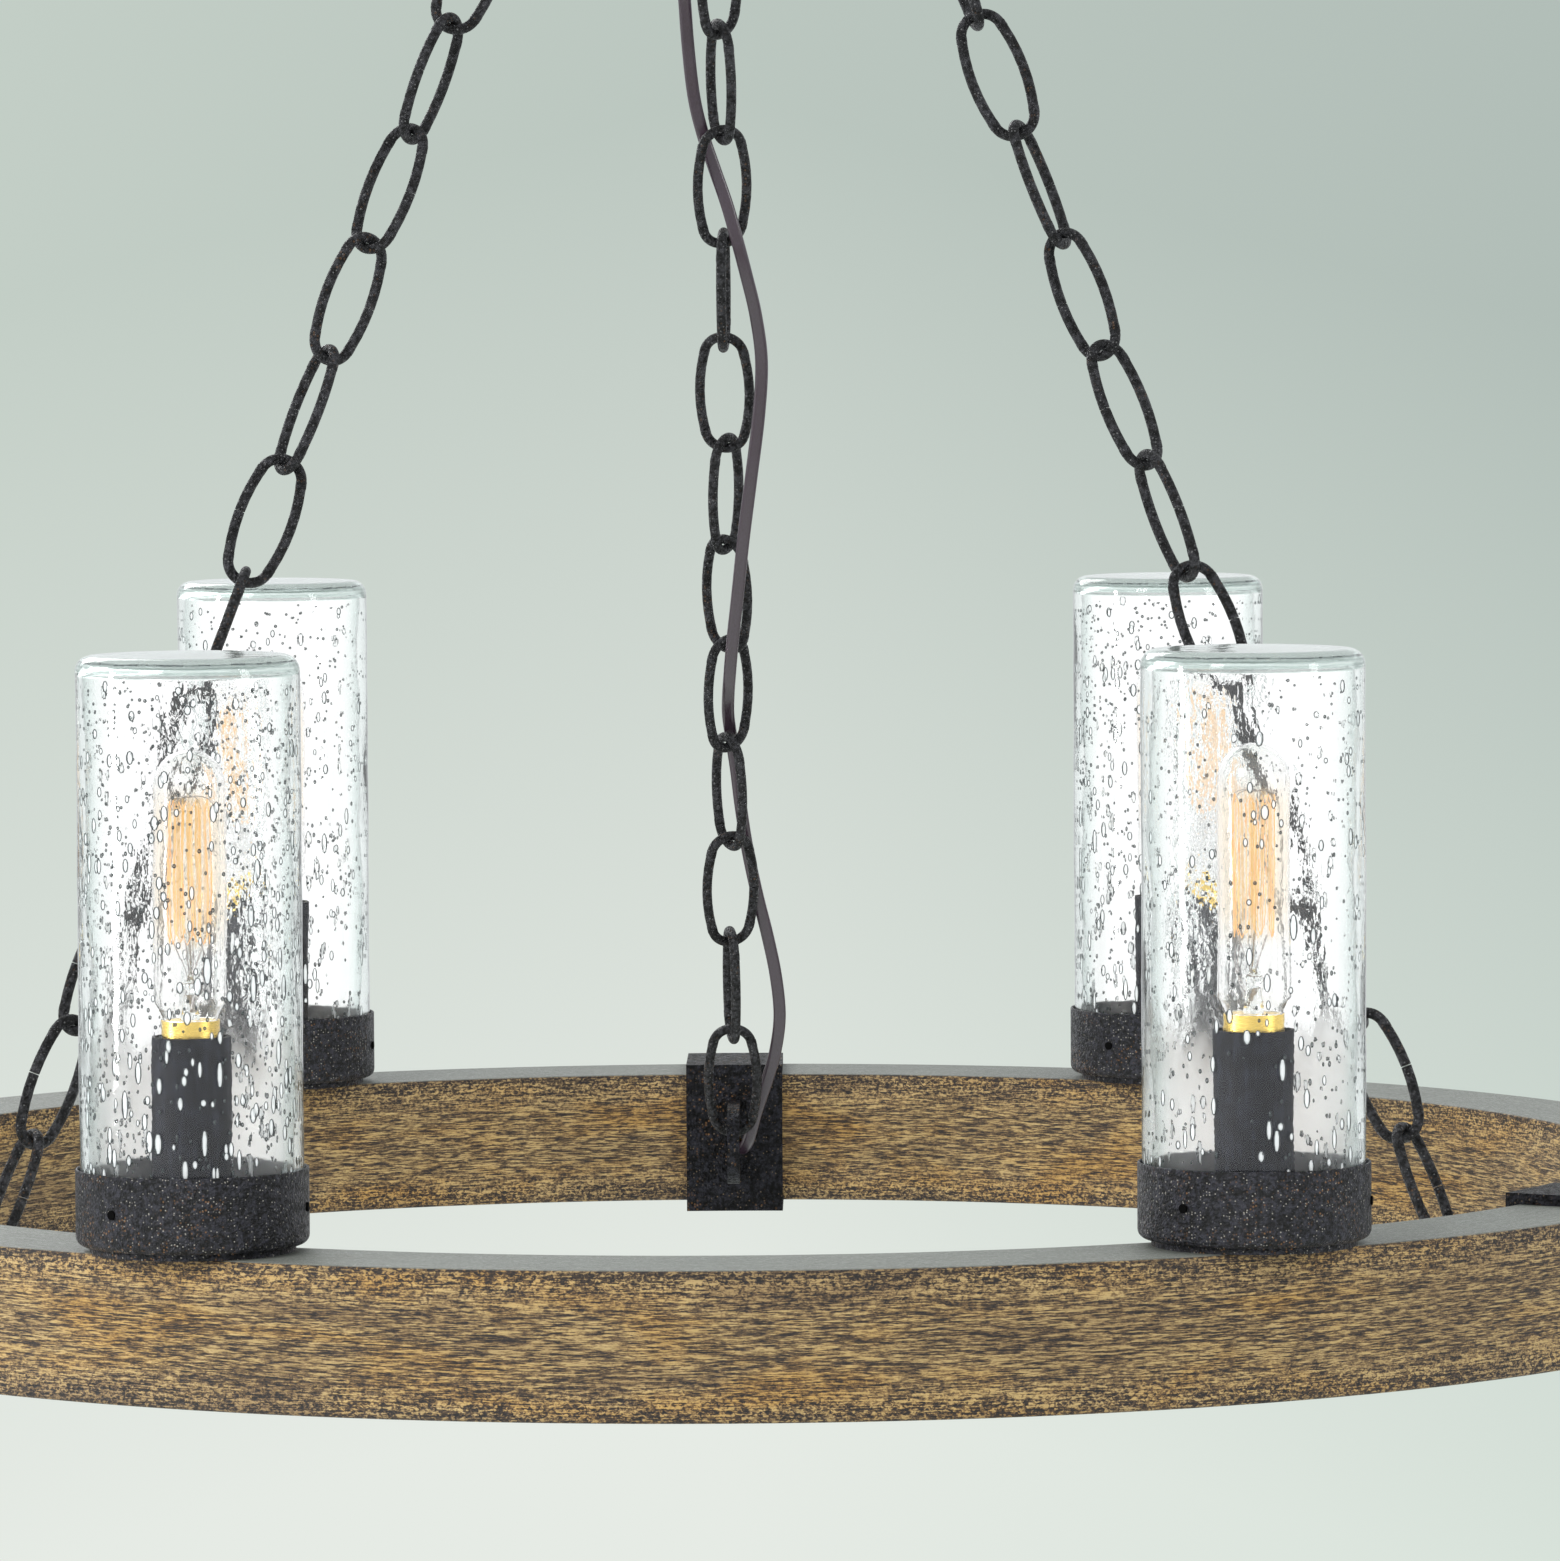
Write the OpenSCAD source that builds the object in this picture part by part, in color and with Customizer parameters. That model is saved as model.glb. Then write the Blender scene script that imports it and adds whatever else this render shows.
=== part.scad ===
// Ring chandelier: a wooden ring carries six lights in seeded glass shades and hangs from
// three chains that meet at an iron hub below the ceiling canopy.
// Origin: the middle of the mounting bar's top face, in the ceiling plane. +Z is up.
// The first iron bracket lies towards +Y.

/* [Ring] */
// Radius of the circle on which the lights stand
light_circle_r = 463; // [430:1:500]
// Radial width of the wooden ring
ring_w = 60; // [56:1:76]
// Height of the wooden ring
ring_h = 66; // [56:1:84]
// Rounding along the ring's edges
ring_edge_r = 1.5; // [0.5:0.5:3]

/* [Brackets] */
// Bearing of the first bracket, seen from above
bracket_bearing = 89.2; // [86:0.1:94]
// Width of an iron bracket along the ring
strap_w = 50; // [40:1:58]
// Thickness of a bracket's iron
strap_t = 5; // [3:0.5:7]
// Height of the chain eye that stands on a bracket
eye_h = 40; // [38:1:46]
// How far the chain eye stands off the bracket's inner face
eye_reach = 58.5; // [48:0.5:64]
// Width of the eye's bar in its own plane
eye_bar_w = 9; // [7:0.5:9.5]
// Thickness of the eye's bar
eye_bar_t = 6.3; // [4.5:0.1:7]

/* [Chains] */
// Links in each chain, an odd number
chain_links = 15; // [11:2:17]
// Length of a link over all
link_l = 65.6; // [62:0.1:76]
// Width of a link over all
link_w = 30; // [27:0.5:34]
// Diameter of the link wire
link_wire = 4.9; // [4.2:0.1:5.3]
// Radius of a link's ends, at the middle of the wire
link_end_r = 10; // [9.4:0.1:10.6]
// Width of the butt joint in a link's side
link_split = 0.6; // [0.3:0.1:1.5]

/* [Hub] */
// Radius of the hub's round body
hub_r = 17; // [14:0.5:22]
// Height of the hub's body
hub_h = 30; // [30:1:40]
// Radius on which the hub's three chain holes lie
ear_circle_r = 50; // [44:1:60]
// Thickness of the hub's ears
ear_t = 6; // [4:0.5:8]
// Radius of an ear's round end
ear_r = 14; // [13:0.5:15]
// Radius of the chain hole in an ear
ear_hole_r = 8; // [7.5:0.5:9]

/* [Loops] */
// Inner radius of the screw loops
loop_in_r = 11; // [10:0.5:14]
// Diameter of the loops' wire
loop_wire = 6; // [5:0.5:7]
// Radius of the loops' collars
collar_r = 9; // [8:0.5:12]
// Height of the loops' collars
collar_h = 12; // [8:1:18]
// Radius of the loops' threaded studs
stud_r = 4.9; // [4:0.1:6]

/* [Canopy] */
// Radius of the ceiling canopy
canopy_r = 63.5; // [60:0.5:75]
// Height of the ceiling canopy
canopy_h = 26; // [24:1:34]
// Thickness of the canopy's sheet
canopy_t = 1.2; // [0.8:0.1:2]
// Rounding of the canopy's lower edge
canopy_edge_r = 8; // [4:0.5:10]
// Distance between the two box screws
box_pitch = 88.9; // [82:0.1:92]
// Radius of the holes for the box screws
box_hole_r = 2.4; // [2:0.1:3]
// Width of the mounting bar
bar_w = 16; // [12:1:20]
// Thickness of the mounting bar
bar_t = 2.5; // [1.5:0.1:4]

/* [Cups] */
// Outer radius of a shade cup
cup_r = 51; // [46:0.5:53]
// Height of a shade cup above its foot
cup_h = 33.5; // [26:0.5:44]
// Thickness of a cup's wall
cup_t = 1.3; // [1:0.1:2]
// Thickness of a cup's floor
cup_floor = 3; // [2:0.5:5]
// Rounding of a cup's lower edge
cup_edge_r = 4; // [2:0.5:6]
// Radius of the foot under a cup
foot_r = 45; // [38:0.5:46]
// Height of the foot
foot_h = 3; // [1.5:0.5:5]
// Bearing of the first of the three shade screws
screw_bearing = 230; // [200:1:260]
// Radius of a shade screw
screw_r = 2; // [1.5:0.1:2.5]

/* [Shades] */
// Height of a glass shade
shade_h = 254; // [240:1:300]
// Thickness of a shade's wall
shade_t = 4; // [3:0.5:5]
// Thickness of a shade's top
shade_top_t = 5; // [4:0.5:8]
// Rounding of a shade's shoulder
shoulder_r = 7; // [5.5:0.5:10]

/* [Lamp holders] */
// Outer radius of a candle sleeve
sleeve_r = 17.5; // [17:0.1:19]
// Thickness of a sleeve's wall
sleeve_t = 1.6; // [1:0.1:2]
// Height of a sleeve above the cup's floor
sleeve_h = 88; // [80:1:100]
// How far a socket's rim lies below the sleeve's
socket_drop = 2; // [0.5:0.5:6]
// Depth of a socket's bore
socket_depth = 22; // [20:0.5:28]
// Height of a socket
socket_h = 40; // [34:1:46]
// Radius of the threaded stem through the ring
stem_r = 5; // [4:0.5:6]
// Radius of the stem's bore
stem_bore_r = 3.2; // [2.5:0.1:3.4]

/* [Bulbs] */
// Radius of a bulb's glass
bulb_r = 15.9; // [14:0.1:16.8]
// Length of a bulb's glass
bulb_l = 118; // [100:1:125]
// Thickness of a bulb's glass
bulb_t = 0.8; // [0.5:0.1:1.2]
// Radius of the bulb's neck
neck_r = 12.4; // [11.5:0.1:12.8]
// Height of the cone between neck and bulb
neck_h = 7.5; // [5:0.5:12]
// Radius of a bulb's brass base
base_r = 13; // [12.9:0.05:13.1]
// How far the brass base stands out of the sleeve
base_show = 7; // [4:0.5:10]
// Height of the filament cage
cage_h = 62; // [50:1:66]
// Radius of the filament cage
cage_r = 7.5; // [5:0.5:9]

/* [Cord] */
// Width of the flat supply cord
cord_w = 6.4; // [5:0.1:6.6]
// Thickness of the flat supply cord
cord_t = 3.2; // [2.4:0.1:3.4]

/* [Clearances] */
// Between linked rings of wire
link_gap = 0.1; // [0.05:0.05:0.3]
// Between the wood and the iron round it
strap_gap = 0.2; // [0.1:0.1:0.5]
// Round a shade in its cup
shade_gap = 0.5; // [0.4:0.1:0.8]
// Between a shade's foot and the cup's floor
seat_gap = 0.1; // [0.05:0.05:0.2]
// Round a bulb's base in its socket
socket_gap = 0.3; // [0.2:0.05:0.4]
// Round a fixed piece in its hole
fit_gap = 0.2; // [0.1:0.05:0.3]

/* [Hidden] */
$fn = 64;
lights = 6;
first_light = 240;
chains = 3;
cup_screws = 3;
eps = 0.05;

ring_in_r = light_circle_r - ring_w / 2;
ring_out_r = light_circle_r + ring_w / 2;
plate_r = ring_in_r - strap_gap - strap_t;
eye_in_r = eye_h / 2 - eye_bar_w;
eye_r = plate_r - eye_reach + eye_h / 2;

// The loops and the single link between them, from the canopy down
loop_mid_r = loop_in_r + loop_wire / 2;
collar_sink = loop_wire / 3;
loop_drop = loop_in_r + loop_wire - collar_sink;
canopy_loop_z = -canopy_h - collar_h - loop_drop;
wire_step = (loop_wire + link_wire) / 2 + link_gap;
pivot_a_z = canopy_loop_z - loop_mid_r;
top_link_z = pivot_a_z + wire_step - (link_l - link_wire) / 2;
pivot_b_z = top_link_z - (link_l - link_wire) / 2;
hub_loop_z = pivot_b_z + wire_step - loop_mid_r;
hub_top_z = hub_loop_z - loop_drop - collar_h;
hub_z = hub_top_z - hub_h / 2;

// A chain lies straight between the eye's hole and the ear's hole
link_pitch = link_l - 2 * link_wire - link_gap;
link_in_r = link_end_r - link_wire / 2 - link_gap;
eye_slack = eye_in_r - link_end_r + sqrt(pow(link_in_r, 2) - pow(eye_bar_t / 2, 2));
ear_slack = ear_hole_r - link_end_r + sqrt(pow(link_in_r, 2) - pow(ear_t / 2, 2));
chain_l = (chain_links - 1) * link_pitch + link_l - link_wire;
chain_reach = eye_slack + chain_l + ear_slack;
chain_run = eye_r - ear_circle_r;
chain_rise = sqrt(pow(chain_reach, 2) - pow(chain_run, 2));
chain_lean = asin(chain_run / chain_reach);
ring_z = hub_z - chain_rise + ring_h / 2;

// A link is an oval of four arcs. Where two arcs meet there is a short straight run,
// a little thicker than the wire, which takes in the ends of both
link_flat = 2;
run_in = 0.6;
run_d = link_wire + 0.24;
end_c = (link_l - link_wire) / 2 - link_end_r;
side_a = 2 * atan(((link_w - link_wire) / 2 - link_end_r) / (end_c + link_flat));
side_r = link_end_r + (end_c - link_flat * cos(side_a)) / sin(side_a);
side_c = side_r - (link_w - link_wire) / 2;
split_a = asin(link_split / 2 / side_r);

// Each chain hangs with a twist of its own: the turn from end to end, how far its
// middle bows out of line, and how far every other link swings back
chain_twist = [[-180, 14, 4], [-180, 4, 4], [-180, 20, 0]];

// One light, measured up from the ring's top
floor_z = foot_h + cup_floor;
cup_in_r = cup_r - cup_t;
shade_r = cup_in_r - shade_gap;
shade_z = floor_z + seat_gap;
shade_in_r = shade_r - shade_t;
sleeve_in_r = sleeve_r - sleeve_t;
sleeve_top_z = floor_z + sleeve_h;
socket_top_z = sleeve_top_z - socket_drop;
socket_z = socket_top_z - socket_h;
base_top_z = sleeve_top_z + base_show;
base_tip_h = 4.5;
base_z = socket_top_z - socket_depth + socket_gap;
base_h = base_top_z - base_z - base_tip_h;
screw_z = foot_h + cup_h / 2;

// The nuts' recess under the ring
nut_af_r = 9.8;
nut_h = 6;
recess_r = 12;
recess_h = 9;

// The filament: a glass stem on the base, a post in it, and two hoops with the strands
filament_stem_r = 4;
filament_stem_h = 14;
post_r = 1.1;
cage_lift = 34;
cage_z = base_top_z + cage_lift;
cage_strands = 8;
strand_r = 0.35;
hoop_h = 0.9;
spoke_w = 0.8;

bar_l = box_pitch + 16;
bar_boss_r = 9;
bar_boss_h = 8;
cord_exit = [-34, 22];
bushing_r = 5.5;
bushing_flange_r = 7.5;
bushing_flange_h = 1.6;
cord_hole_r = cord_w / 2 + 1.3;
cord_hole_drop = 3;
cord_sink = 6;

// The supply cord's route, each point to the viewer's right of the first chain, then out.
// It starts in the hole behind the first eye: across, in from the wood's inner face, up.
cord_start = [
    [0, 6, -36], [0.6, -7, -36.6], [2.2, -15, -37.6], [4.6, -22.5, -37], [6.8, -29.5, -33.5]
];
// Along the chain: links up from the first one's middle, across, behind the chain
cord_laced = [
    [-0.66, 8.6, 10], [-0.38, 12.4, 8.5], [-0.08, 17.5, 8], [0.22, 21.8, 7],
    [0.62, 24.4, 5.5], [1.04, 22.6, 6], [1.45, 18.4, 8], [1.85, 13.4, 10],
    [2.3, 8.8, 11], [2.75, 5.6, 10], [3.14, 3.4, 10], [3.46, 1.2, 9.5],
    [3.73, -0.2, 5.5], [3.98, 0, -1], [4.27, 1, -8.5], [4.62, 2.6, -12.5],
    [5.1, 5.4, -14], [5.65, 8.6, -14], [6.25, 12.8, -12.5], [6.85, 17, -9],
    [7.35, 18.6, -6.5], [7.8, 16, -6.5], [8.2, 11.6, -8], [8.56, 6.8, -6.5],
    [8.86, 2, -2], [9.14, -3.6, 3.5], [9.45, -9.4, 8], [9.8, -13.6, 10],
    [10.3, -16.2, 10.5], [10.85, -18, 10.5]
];
// Past the hub: across, out from the axis, up from the ears' holes
cord_end = [[-22, 118, -146], [-27, 88, -82], [-31.5, 54, -30], [-33.5, 31, -6]];

function chain_point(along, across, out) =
    let (s = eye_slack + (link_l - link_wire) / 2 + along * link_pitch)
    [eye_r - s * sin(chain_lean) + out * cos(chain_lean), -across,
     ring_z - ring_h / 2 + s * cos(chain_lean) + out * sin(chain_lean)];
function turned(p) = [
    p[0] * cos(bracket_bearing) - p[1] * sin(bracket_bearing),
    p[0] * sin(bracket_bearing) + p[1] * cos(bracket_bearing), p[2]
];
cord_join_z = pivot_b_z - 25;
cord_mid_z = (pivot_a_z + pivot_b_z) / 2;
cord_top_z = -4;
cord_route = concat(
    [for (p = cord_start) turned([ring_in_r + p[1], -p[0], ring_z + p[2]])],
    [for (p = cord_laced) turned(chain_point(p[0], p[1], p[2]))],
    [for (p = cord_end) turned([p[1], -p[0], hub_z + p[2]])],
    [for (z = [hub_z + 12, (hub_z + 12 + cord_join_z) / 2, cord_join_z]) [cord_exit[0], cord_exit[1], z]]
);

// Points of an arc in a profile
function arc(x, y, r, from, to, steps = 6) =
    [for (i = [0:steps]) let (a = from + (to - from) * i / steps) [x + r * cos(a), y + r * sin(a)]];

// Bearing of a chain and of a light, seen from above
function chain_bearing(c) = bracket_bearing + (c - 1) * 360 / chains;
function light_bearing(k) = first_light + (k - 1) * 360 / lights;

module at_light(k) {
    rotate([0, 0, light_bearing(k)])
        translate([light_circle_r, 0, ring_z])
            rotate([0, 0, -light_bearing(k)])
                children();
}

module at_every_light() {
    for (k = [1:lights])
        at_light(k) children();
}

// A ring of rectangular section with rounded edges, as a profile
module ring_profile() {
    e = ring_edge_r;
    polygon(concat(
        arc(ring_in_r + e, -ring_h + e, e, 180, 270, 4),
        arc(ring_out_r - e, -ring_h + e, e, 270, 360, 4),
        arc(ring_out_r - e, -e, e, 0, 90, 4),
        arc(ring_in_r + e, -e, e, 90, 180, 4)
    ));
}

module ring_segment(c) {
    difference() {
        translate([0, 0, ring_z])
            rotate([0, 0, chain_bearing(c)])
                rotate_extrude(angle = 360 / chains, $fn = 240)
                    ring_profile();
        at_every_light() {
            translate([0, 0, -ring_h - 1])
                cylinder(r = stem_r + fit_gap, h = ring_h + 2);
            translate([0, 0, -ring_h - 1])
                cylinder(r = recess_r, h = recess_h + 1);
        }
        cord_hole();
    }
}

// The hole behind the first eye that the supply cord goes into
module cord_hole() {
    rotate([0, 0, bracket_bearing])
        translate([plate_r - 1, 0, ring_z - ring_h / 2 - cord_hole_drop])
            rotate([0, 90, 0])
                cylinder(r = cord_hole_r, h = ring_in_r + cord_sink - plate_r + 1);
}

module strap_profile(grow) {
    translate([ring_in_r - grow, -ring_h - grow])
        square([ring_w + 2 * grow, ring_h + 2 * grow]);
}

module strap() {
    half = 2 * asin(strap_w / (2 * ring_in_r - 4 * strap_t));
    intersection() {
        rotate([0, 0, -half])
            rotate_extrude(angle = 2 * half, $fn = 240)
                difference() {
                    strap_profile(strap_gap + strap_t);
                    strap_profile(strap_gap);
                }
        translate([ring_in_r - 3 * strap_t, -strap_w / 2, -ring_h - 3 * strap_t])
            cube([ring_w + 6 * strap_t, strap_w, ring_h + 6 * strap_t]);
    }
}

// A U-shaped eye of flat bar, its plane upright and pointing at the ring's axis
module chain_eye() {
    leg = plate_r - eye_r + strap_t / 2;
    translate([eye_r, 0, -ring_h / 2]) {
        rotate([90, 0, 0])
            rotate([0, 0, 90])
                rotate_extrude(angle = 180)
                    translate([eye_in_r, -eye_bar_t / 2])
                        square([eye_bar_w, eye_bar_t]);
        for (z = [eye_in_r, -eye_h / 2])
            translate([0, -eye_bar_t / 2, z])
                cube([leg, eye_bar_t, eye_bar_w]);
    }
}

module ring_bracket(c) {
    difference() {
        translate([0, 0, ring_z])
            rotate([0, 0, chain_bearing(c)]) {
                strap();
                chain_eye();
            }
        if (c == 1)
            cord_hole();
    }
}

module wire_arc(r, from, to) {
    rotate([0, 0, from])
        rotate_extrude(angle = to - from)
            translate([r, 0])
                circle(d = link_wire, $fn = 24);
}

// One link, upright, its width along X and its butt joint in the +X side
module link() {
    rotate([90, 0, 0]) {
        for (turn = [0, 180])
            rotate([0, 0, turn])
                translate([0, end_c, 0]) {
                    wire_arc(link_end_r, side_a, 180 - side_a);
                    for (side = [0, 1])
                        mirror([side, 0, 0])
                            rotate([0, 0, side_a])
                                translate([link_end_r, run_in, 0])
                                    rotate([90, 0, 0])
                                        cylinder(d = run_d, h = link_flat + 2 * run_in, $fn = 24);
                }
        translate([side_c, 0, 0])
            wire_arc(side_r, 180 - side_a, 180 + side_a);
        translate([-side_c, 0, 0]) {
            wire_arc(side_r, split_a, side_a);
            wire_arc(side_r, -side_a, -split_a);
        }
    }
}

// How far link i of a chain is turned about the chain's line
function link_roll(c, i) =
    let (t = i / (chain_links - 1), twist = chain_twist[c - 1])
    90 * i + twist[0] * t + (twist[1] + twist[2] * (i % 2 == 0 ? 1 : -1)) * sin(180 * t);

module chain(c) {
    rotate([0, 0, chain_bearing(c)])
        translate([eye_r, 0, ring_z - ring_h / 2])
            rotate([0, -chain_lean, 0])
                for (i = [0:chain_links - 1])
                    translate([0, 0, eye_slack + (link_l - link_wire) / 2 + i * link_pitch])
                        rotate([0, 0, 90 - link_roll(c, i)])
                            link();
}

module ear() {
    difference() {
        union() {
            translate([hub_r / 2, -ear_t / 2, -ear_r])
                cube([ear_circle_r - hub_r / 2, ear_t, 2 * ear_r]);
            translate([ear_circle_r, ear_t / 2, 0])
                rotate([90, 0, 0])
                    cylinder(r = ear_r, h = ear_t);
        }
        translate([ear_circle_r, ear_t, 0])
            rotate([90, 0, 0])
                cylinder(r = ear_hole_r, h = 2 * ear_t);
    }
}

module hub() {
    translate([0, 0, hub_z])
        difference() {
            union() {
                cylinder(r = hub_r, h = hub_h, center = true);
                for (c = [1:chains])
                    rotate([0, 0, chain_bearing(c)])
                        ear();
            }
            cylinder(r = stud_r + fit_gap, h = hub_h + 2, center = true);
        }
}

// A wire ring in the XZ plane over or under a collar
module screw_loop(side) {
    rotate([90, 0, 0])
        rotate_extrude()
            translate([loop_mid_r, 0])
                circle(d = loop_wire, $fn = 32);
    translate([0, 0, side > 0 ? loop_drop : -loop_drop - collar_h])
        cylinder(r = collar_r, h = collar_h);
}

module hub_loop() {
    translate([0, 0, hub_loop_z])
        screw_loop(-1);
    stud_l = hub_h + nut_h + 2;
    translate([0, 0, hub_top_z - stud_l])
        cylinder(r = stud_r, h = stud_l + eps);
}

module top_link() {
    translate([0, 0, top_link_z])
        rotate([0, 0, 90])
            link();
}

module canopy_loop() {
    translate([0, 0, canopy_loop_z])
        screw_loop(1);
    translate([0, 0, -canopy_h - eps])
        cylinder(r = stud_r, h = canopy_h + eps - 1);
}

module nut(bore_r) {
    difference() {
        cylinder(r = nut_af_r, h = nut_h, $fn = 6);
        translate([0, 0, -1])
            cylinder(r = bore_r, h = nut_h + 2);
    }
}

module hub_nut() {
    translate([0, 0, hub_z - hub_h / 2 - nut_h])
        nut(stud_r + eps);
}

module canopy() {
    r = canopy_edge_r;
    t = canopy_t;
    difference() {
        rotate_extrude()
            polygon(concat(
                [[canopy_r, 0], [canopy_r - t, 0]],
                arc(canopy_r - r, -canopy_h + r, r - t, 0, -90),
                [[0, -canopy_h + t], [0, -canopy_h]],
                arc(canopy_r - r, -canopy_h + r, r, -90, 0)
            ));
        translate([0, 0, -canopy_h - 1])
            cylinder(r = stud_r + fit_gap, h = 4);
        translate([cord_exit[0], cord_exit[1], -canopy_h - 1])
            cylinder(r = bushing_r + fit_gap, h = 4);
    }
}

module mounting_bar() {
    difference() {
        union() {
            translate([-bar_l / 2, -bar_w / 2, -bar_t])
                cube([bar_l, bar_w, bar_t]);
            translate([0, 0, -bar_t - bar_boss_h])
                cylinder(r = bar_boss_r, h = bar_boss_h + eps);
        }
        translate([0, 0, -bar_t - bar_boss_h - 1])
            cylinder(r = stud_r + eps, h = bar_boss_h + bar_t + 2);
        for (x = [-1, 1])
            translate([x * box_pitch / 2, 0, -bar_t - 1])
                cylinder(r = box_hole_r, h = bar_t + 2);
    }
}

module cord_bushing() {
    bore = cord_w / 2 + fit_gap;
    translate([cord_exit[0], cord_exit[1], -canopy_h])
        rotate_extrude()
            polygon([
                [bore, -bushing_flange_h], [bushing_flange_r, -bushing_flange_h],
                [bushing_flange_r, 0], [bushing_r, 0], [bushing_r, canopy_t + 3],
                [bore, canopy_t + 3]
            ]);
}

module cup(k) {
    r = cup_edge_r;
    top = foot_h + cup_h;
    hole_r = stem_r + fit_gap;
    at_light(k)
        difference() {
            rotate_extrude($fn = 96)
                polygon(concat(
                    [[hole_r, 0], [foot_r, 0], [foot_r, foot_h]],
                    arc(cup_r - r, foot_h + r, r, -90, 0),
                    arc(cup_r - cup_t / 2, top - cup_t / 2, cup_t / 2, 0, 180),
                    [[cup_in_r, floor_z], [hole_r, floor_z]]
                ));
            for (s = [0:cup_screws - 1])
                at_screw(s)
                    translate([0, 0, -cup_t - 1])
                        cylinder(r = screw_r + eps, h = 2 * cup_t + 2);
        }
}

// At a screw's place on a cup's wall, with +Z pointing out
module at_screw(s) {
    rotate([0, 0, screw_bearing + s * 360 / cup_screws])
        translate([cup_r, 0, screw_z])
            rotate([0, 90, 0])
                children();
}

module shade_screws() {
    tip = cup_t + shade_gap - socket_gap;
    at_every_light()
        for (s = [0:cup_screws - 1])
            at_screw(s)
                translate([0, 0, -tip])
                    cylinder(r = screw_r, h = tip + 0.8, $fn = 32);
}

module candle_sleeve(k) {
    at_light(k)
        translate([0, 0, floor_z])
            difference() {
                cylinder(r = sleeve_r, h = sleeve_h);
                translate([0, 0, -1])
                    cylinder(r = sleeve_in_r, h = sleeve_h + 2);
            }
}

module lamp_sockets() {
    at_every_light()
        translate([0, 0, socket_z])
            difference() {
                cylinder(r = sleeve_in_r - fit_gap, h = socket_h);
                translate([0, 0, socket_h - socket_depth])
                    cylinder(r = base_r + socket_gap, h = socket_depth + 1);
                translate([0, 0, -1])
                    cylinder(r = stem_r + eps, h = 9);
            }
}

// Threaded tubes that hold cup, sleeve and socket to the ring
module socket_stems() {
    at_every_light()
        translate([0, 0, -ring_h + 1])
            difference() {
                cylinder(r = stem_r, h = ring_h - 1 + socket_z + 7);
                translate([0, 0, -1])
                    cylinder(r = stem_bore_r, h = ring_h + socket_z + 9);
            }
}

module stem_nuts() {
    at_every_light()
        translate([0, 0, -ring_h + recess_h - nut_h])
            nut(stem_r + eps);
}

module glass_shade(k) {
    r = shoulder_r;
    at_light(k)
        translate([0, 0, shade_z])
            rotate_extrude($fn = 96)
                polygon(concat(
                    [[shade_in_r, 0], [shade_r, 0]],
                    arc(shade_r - r, shade_h - r, r, 0, 90),
                    [[0, shade_h], [0, shade_h - shade_top_t]],
                    arc(shade_in_r - r / 2, shade_h - shade_top_t - r / 2, r / 2, 90, 0)
                ));
}

module bulb_profile(shrink) {
    r = bulb_r - shrink;
    polygon(concat(
        [[0, shrink > 0 ? -1 : 0], [neck_r - shrink, shrink > 0 ? -1 : 0], [neck_r - shrink, 1]],
        [[r, neck_h]],
        arc(0, bulb_l - bulb_r, r, 0, 90, 10)
    ));
}

module bulb_glass(k) {
    at_light(k)
        translate([0, 0, base_top_z])
            rotate_extrude()
                difference() {
                    bulb_profile(0);
                    bulb_profile(bulb_t);
                }
}

module bulb_base(k) {
    at_light(k)
        translate([0, 0, base_z]) {
            cylinder(r1 = 4, r2 = base_r - 1, h = base_tip_h);
            translate([0, 0, base_tip_h])
                cylinder(r = base_r, h = base_h);
        }
}

// Glass stem, support post and the upright strands of the filament
module bulb_filament(k) {
    at_light(k) {
        translate([0, 0, base_top_z])
            cylinder(r = filament_stem_r, h = filament_stem_h);
        translate([0, 0, base_top_z + filament_stem_h - 1])
            cylinder(r = post_r, h = cage_lift - filament_stem_h + 1 + cage_h);
        for (z = [cage_z, cage_z + cage_h - hoop_h])
            translate([0, 0, z]) {
                difference() {
                    cylinder(r = cage_r + hoop_h / 2, h = hoop_h);
                    translate([0, 0, -1])
                        cylinder(r = cage_r - hoop_h / 2, h = hoop_h + 2);
                }
                for (a = [0, 90])
                    rotate([0, 0, a])
                        translate([-cage_r, -spoke_w / 2, (hoop_h - spoke_w) / 2])
                            cube([2 * cage_r, spoke_w, spoke_w]);
            }
        for (s = [0:cage_strands - 1])
            rotate([0, 0, (s + 0.5) * 360 / cage_strands])
                translate([cage_r, 0, cage_z + hoop_h / 2])
                    cylinder(r = strand_r, h = cage_h - hoop_h, $fn = 16);
    }
}

// Smooth curve through the points of a route, two steps from each point to the next
function route_at(p, i) = p[max(0, min(len(p) - 1, i))];
function spline(p, i, t) =
    let (a = route_at(p, i - 1), b = route_at(p, i), c = route_at(p, i + 1), d = route_at(p, i + 2))
    b + (c - a) * t / 2 + (2 * a - 5 * b + 4 * c - d) * t * t / 2
    + (3 * b - a - 3 * c + d) * t * t * t / 2;
function smooth(p, steps) =
    concat([for (i = [0:len(p) - 2], s = [0:steps - 1]) spline(p, i, s / steps)], [p[len(p) - 1]]);
function unit(v) = v / norm(v);
function heading(p, i) = unit(route_at(p, i + 1) - route_at(p, i - 1));

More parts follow.
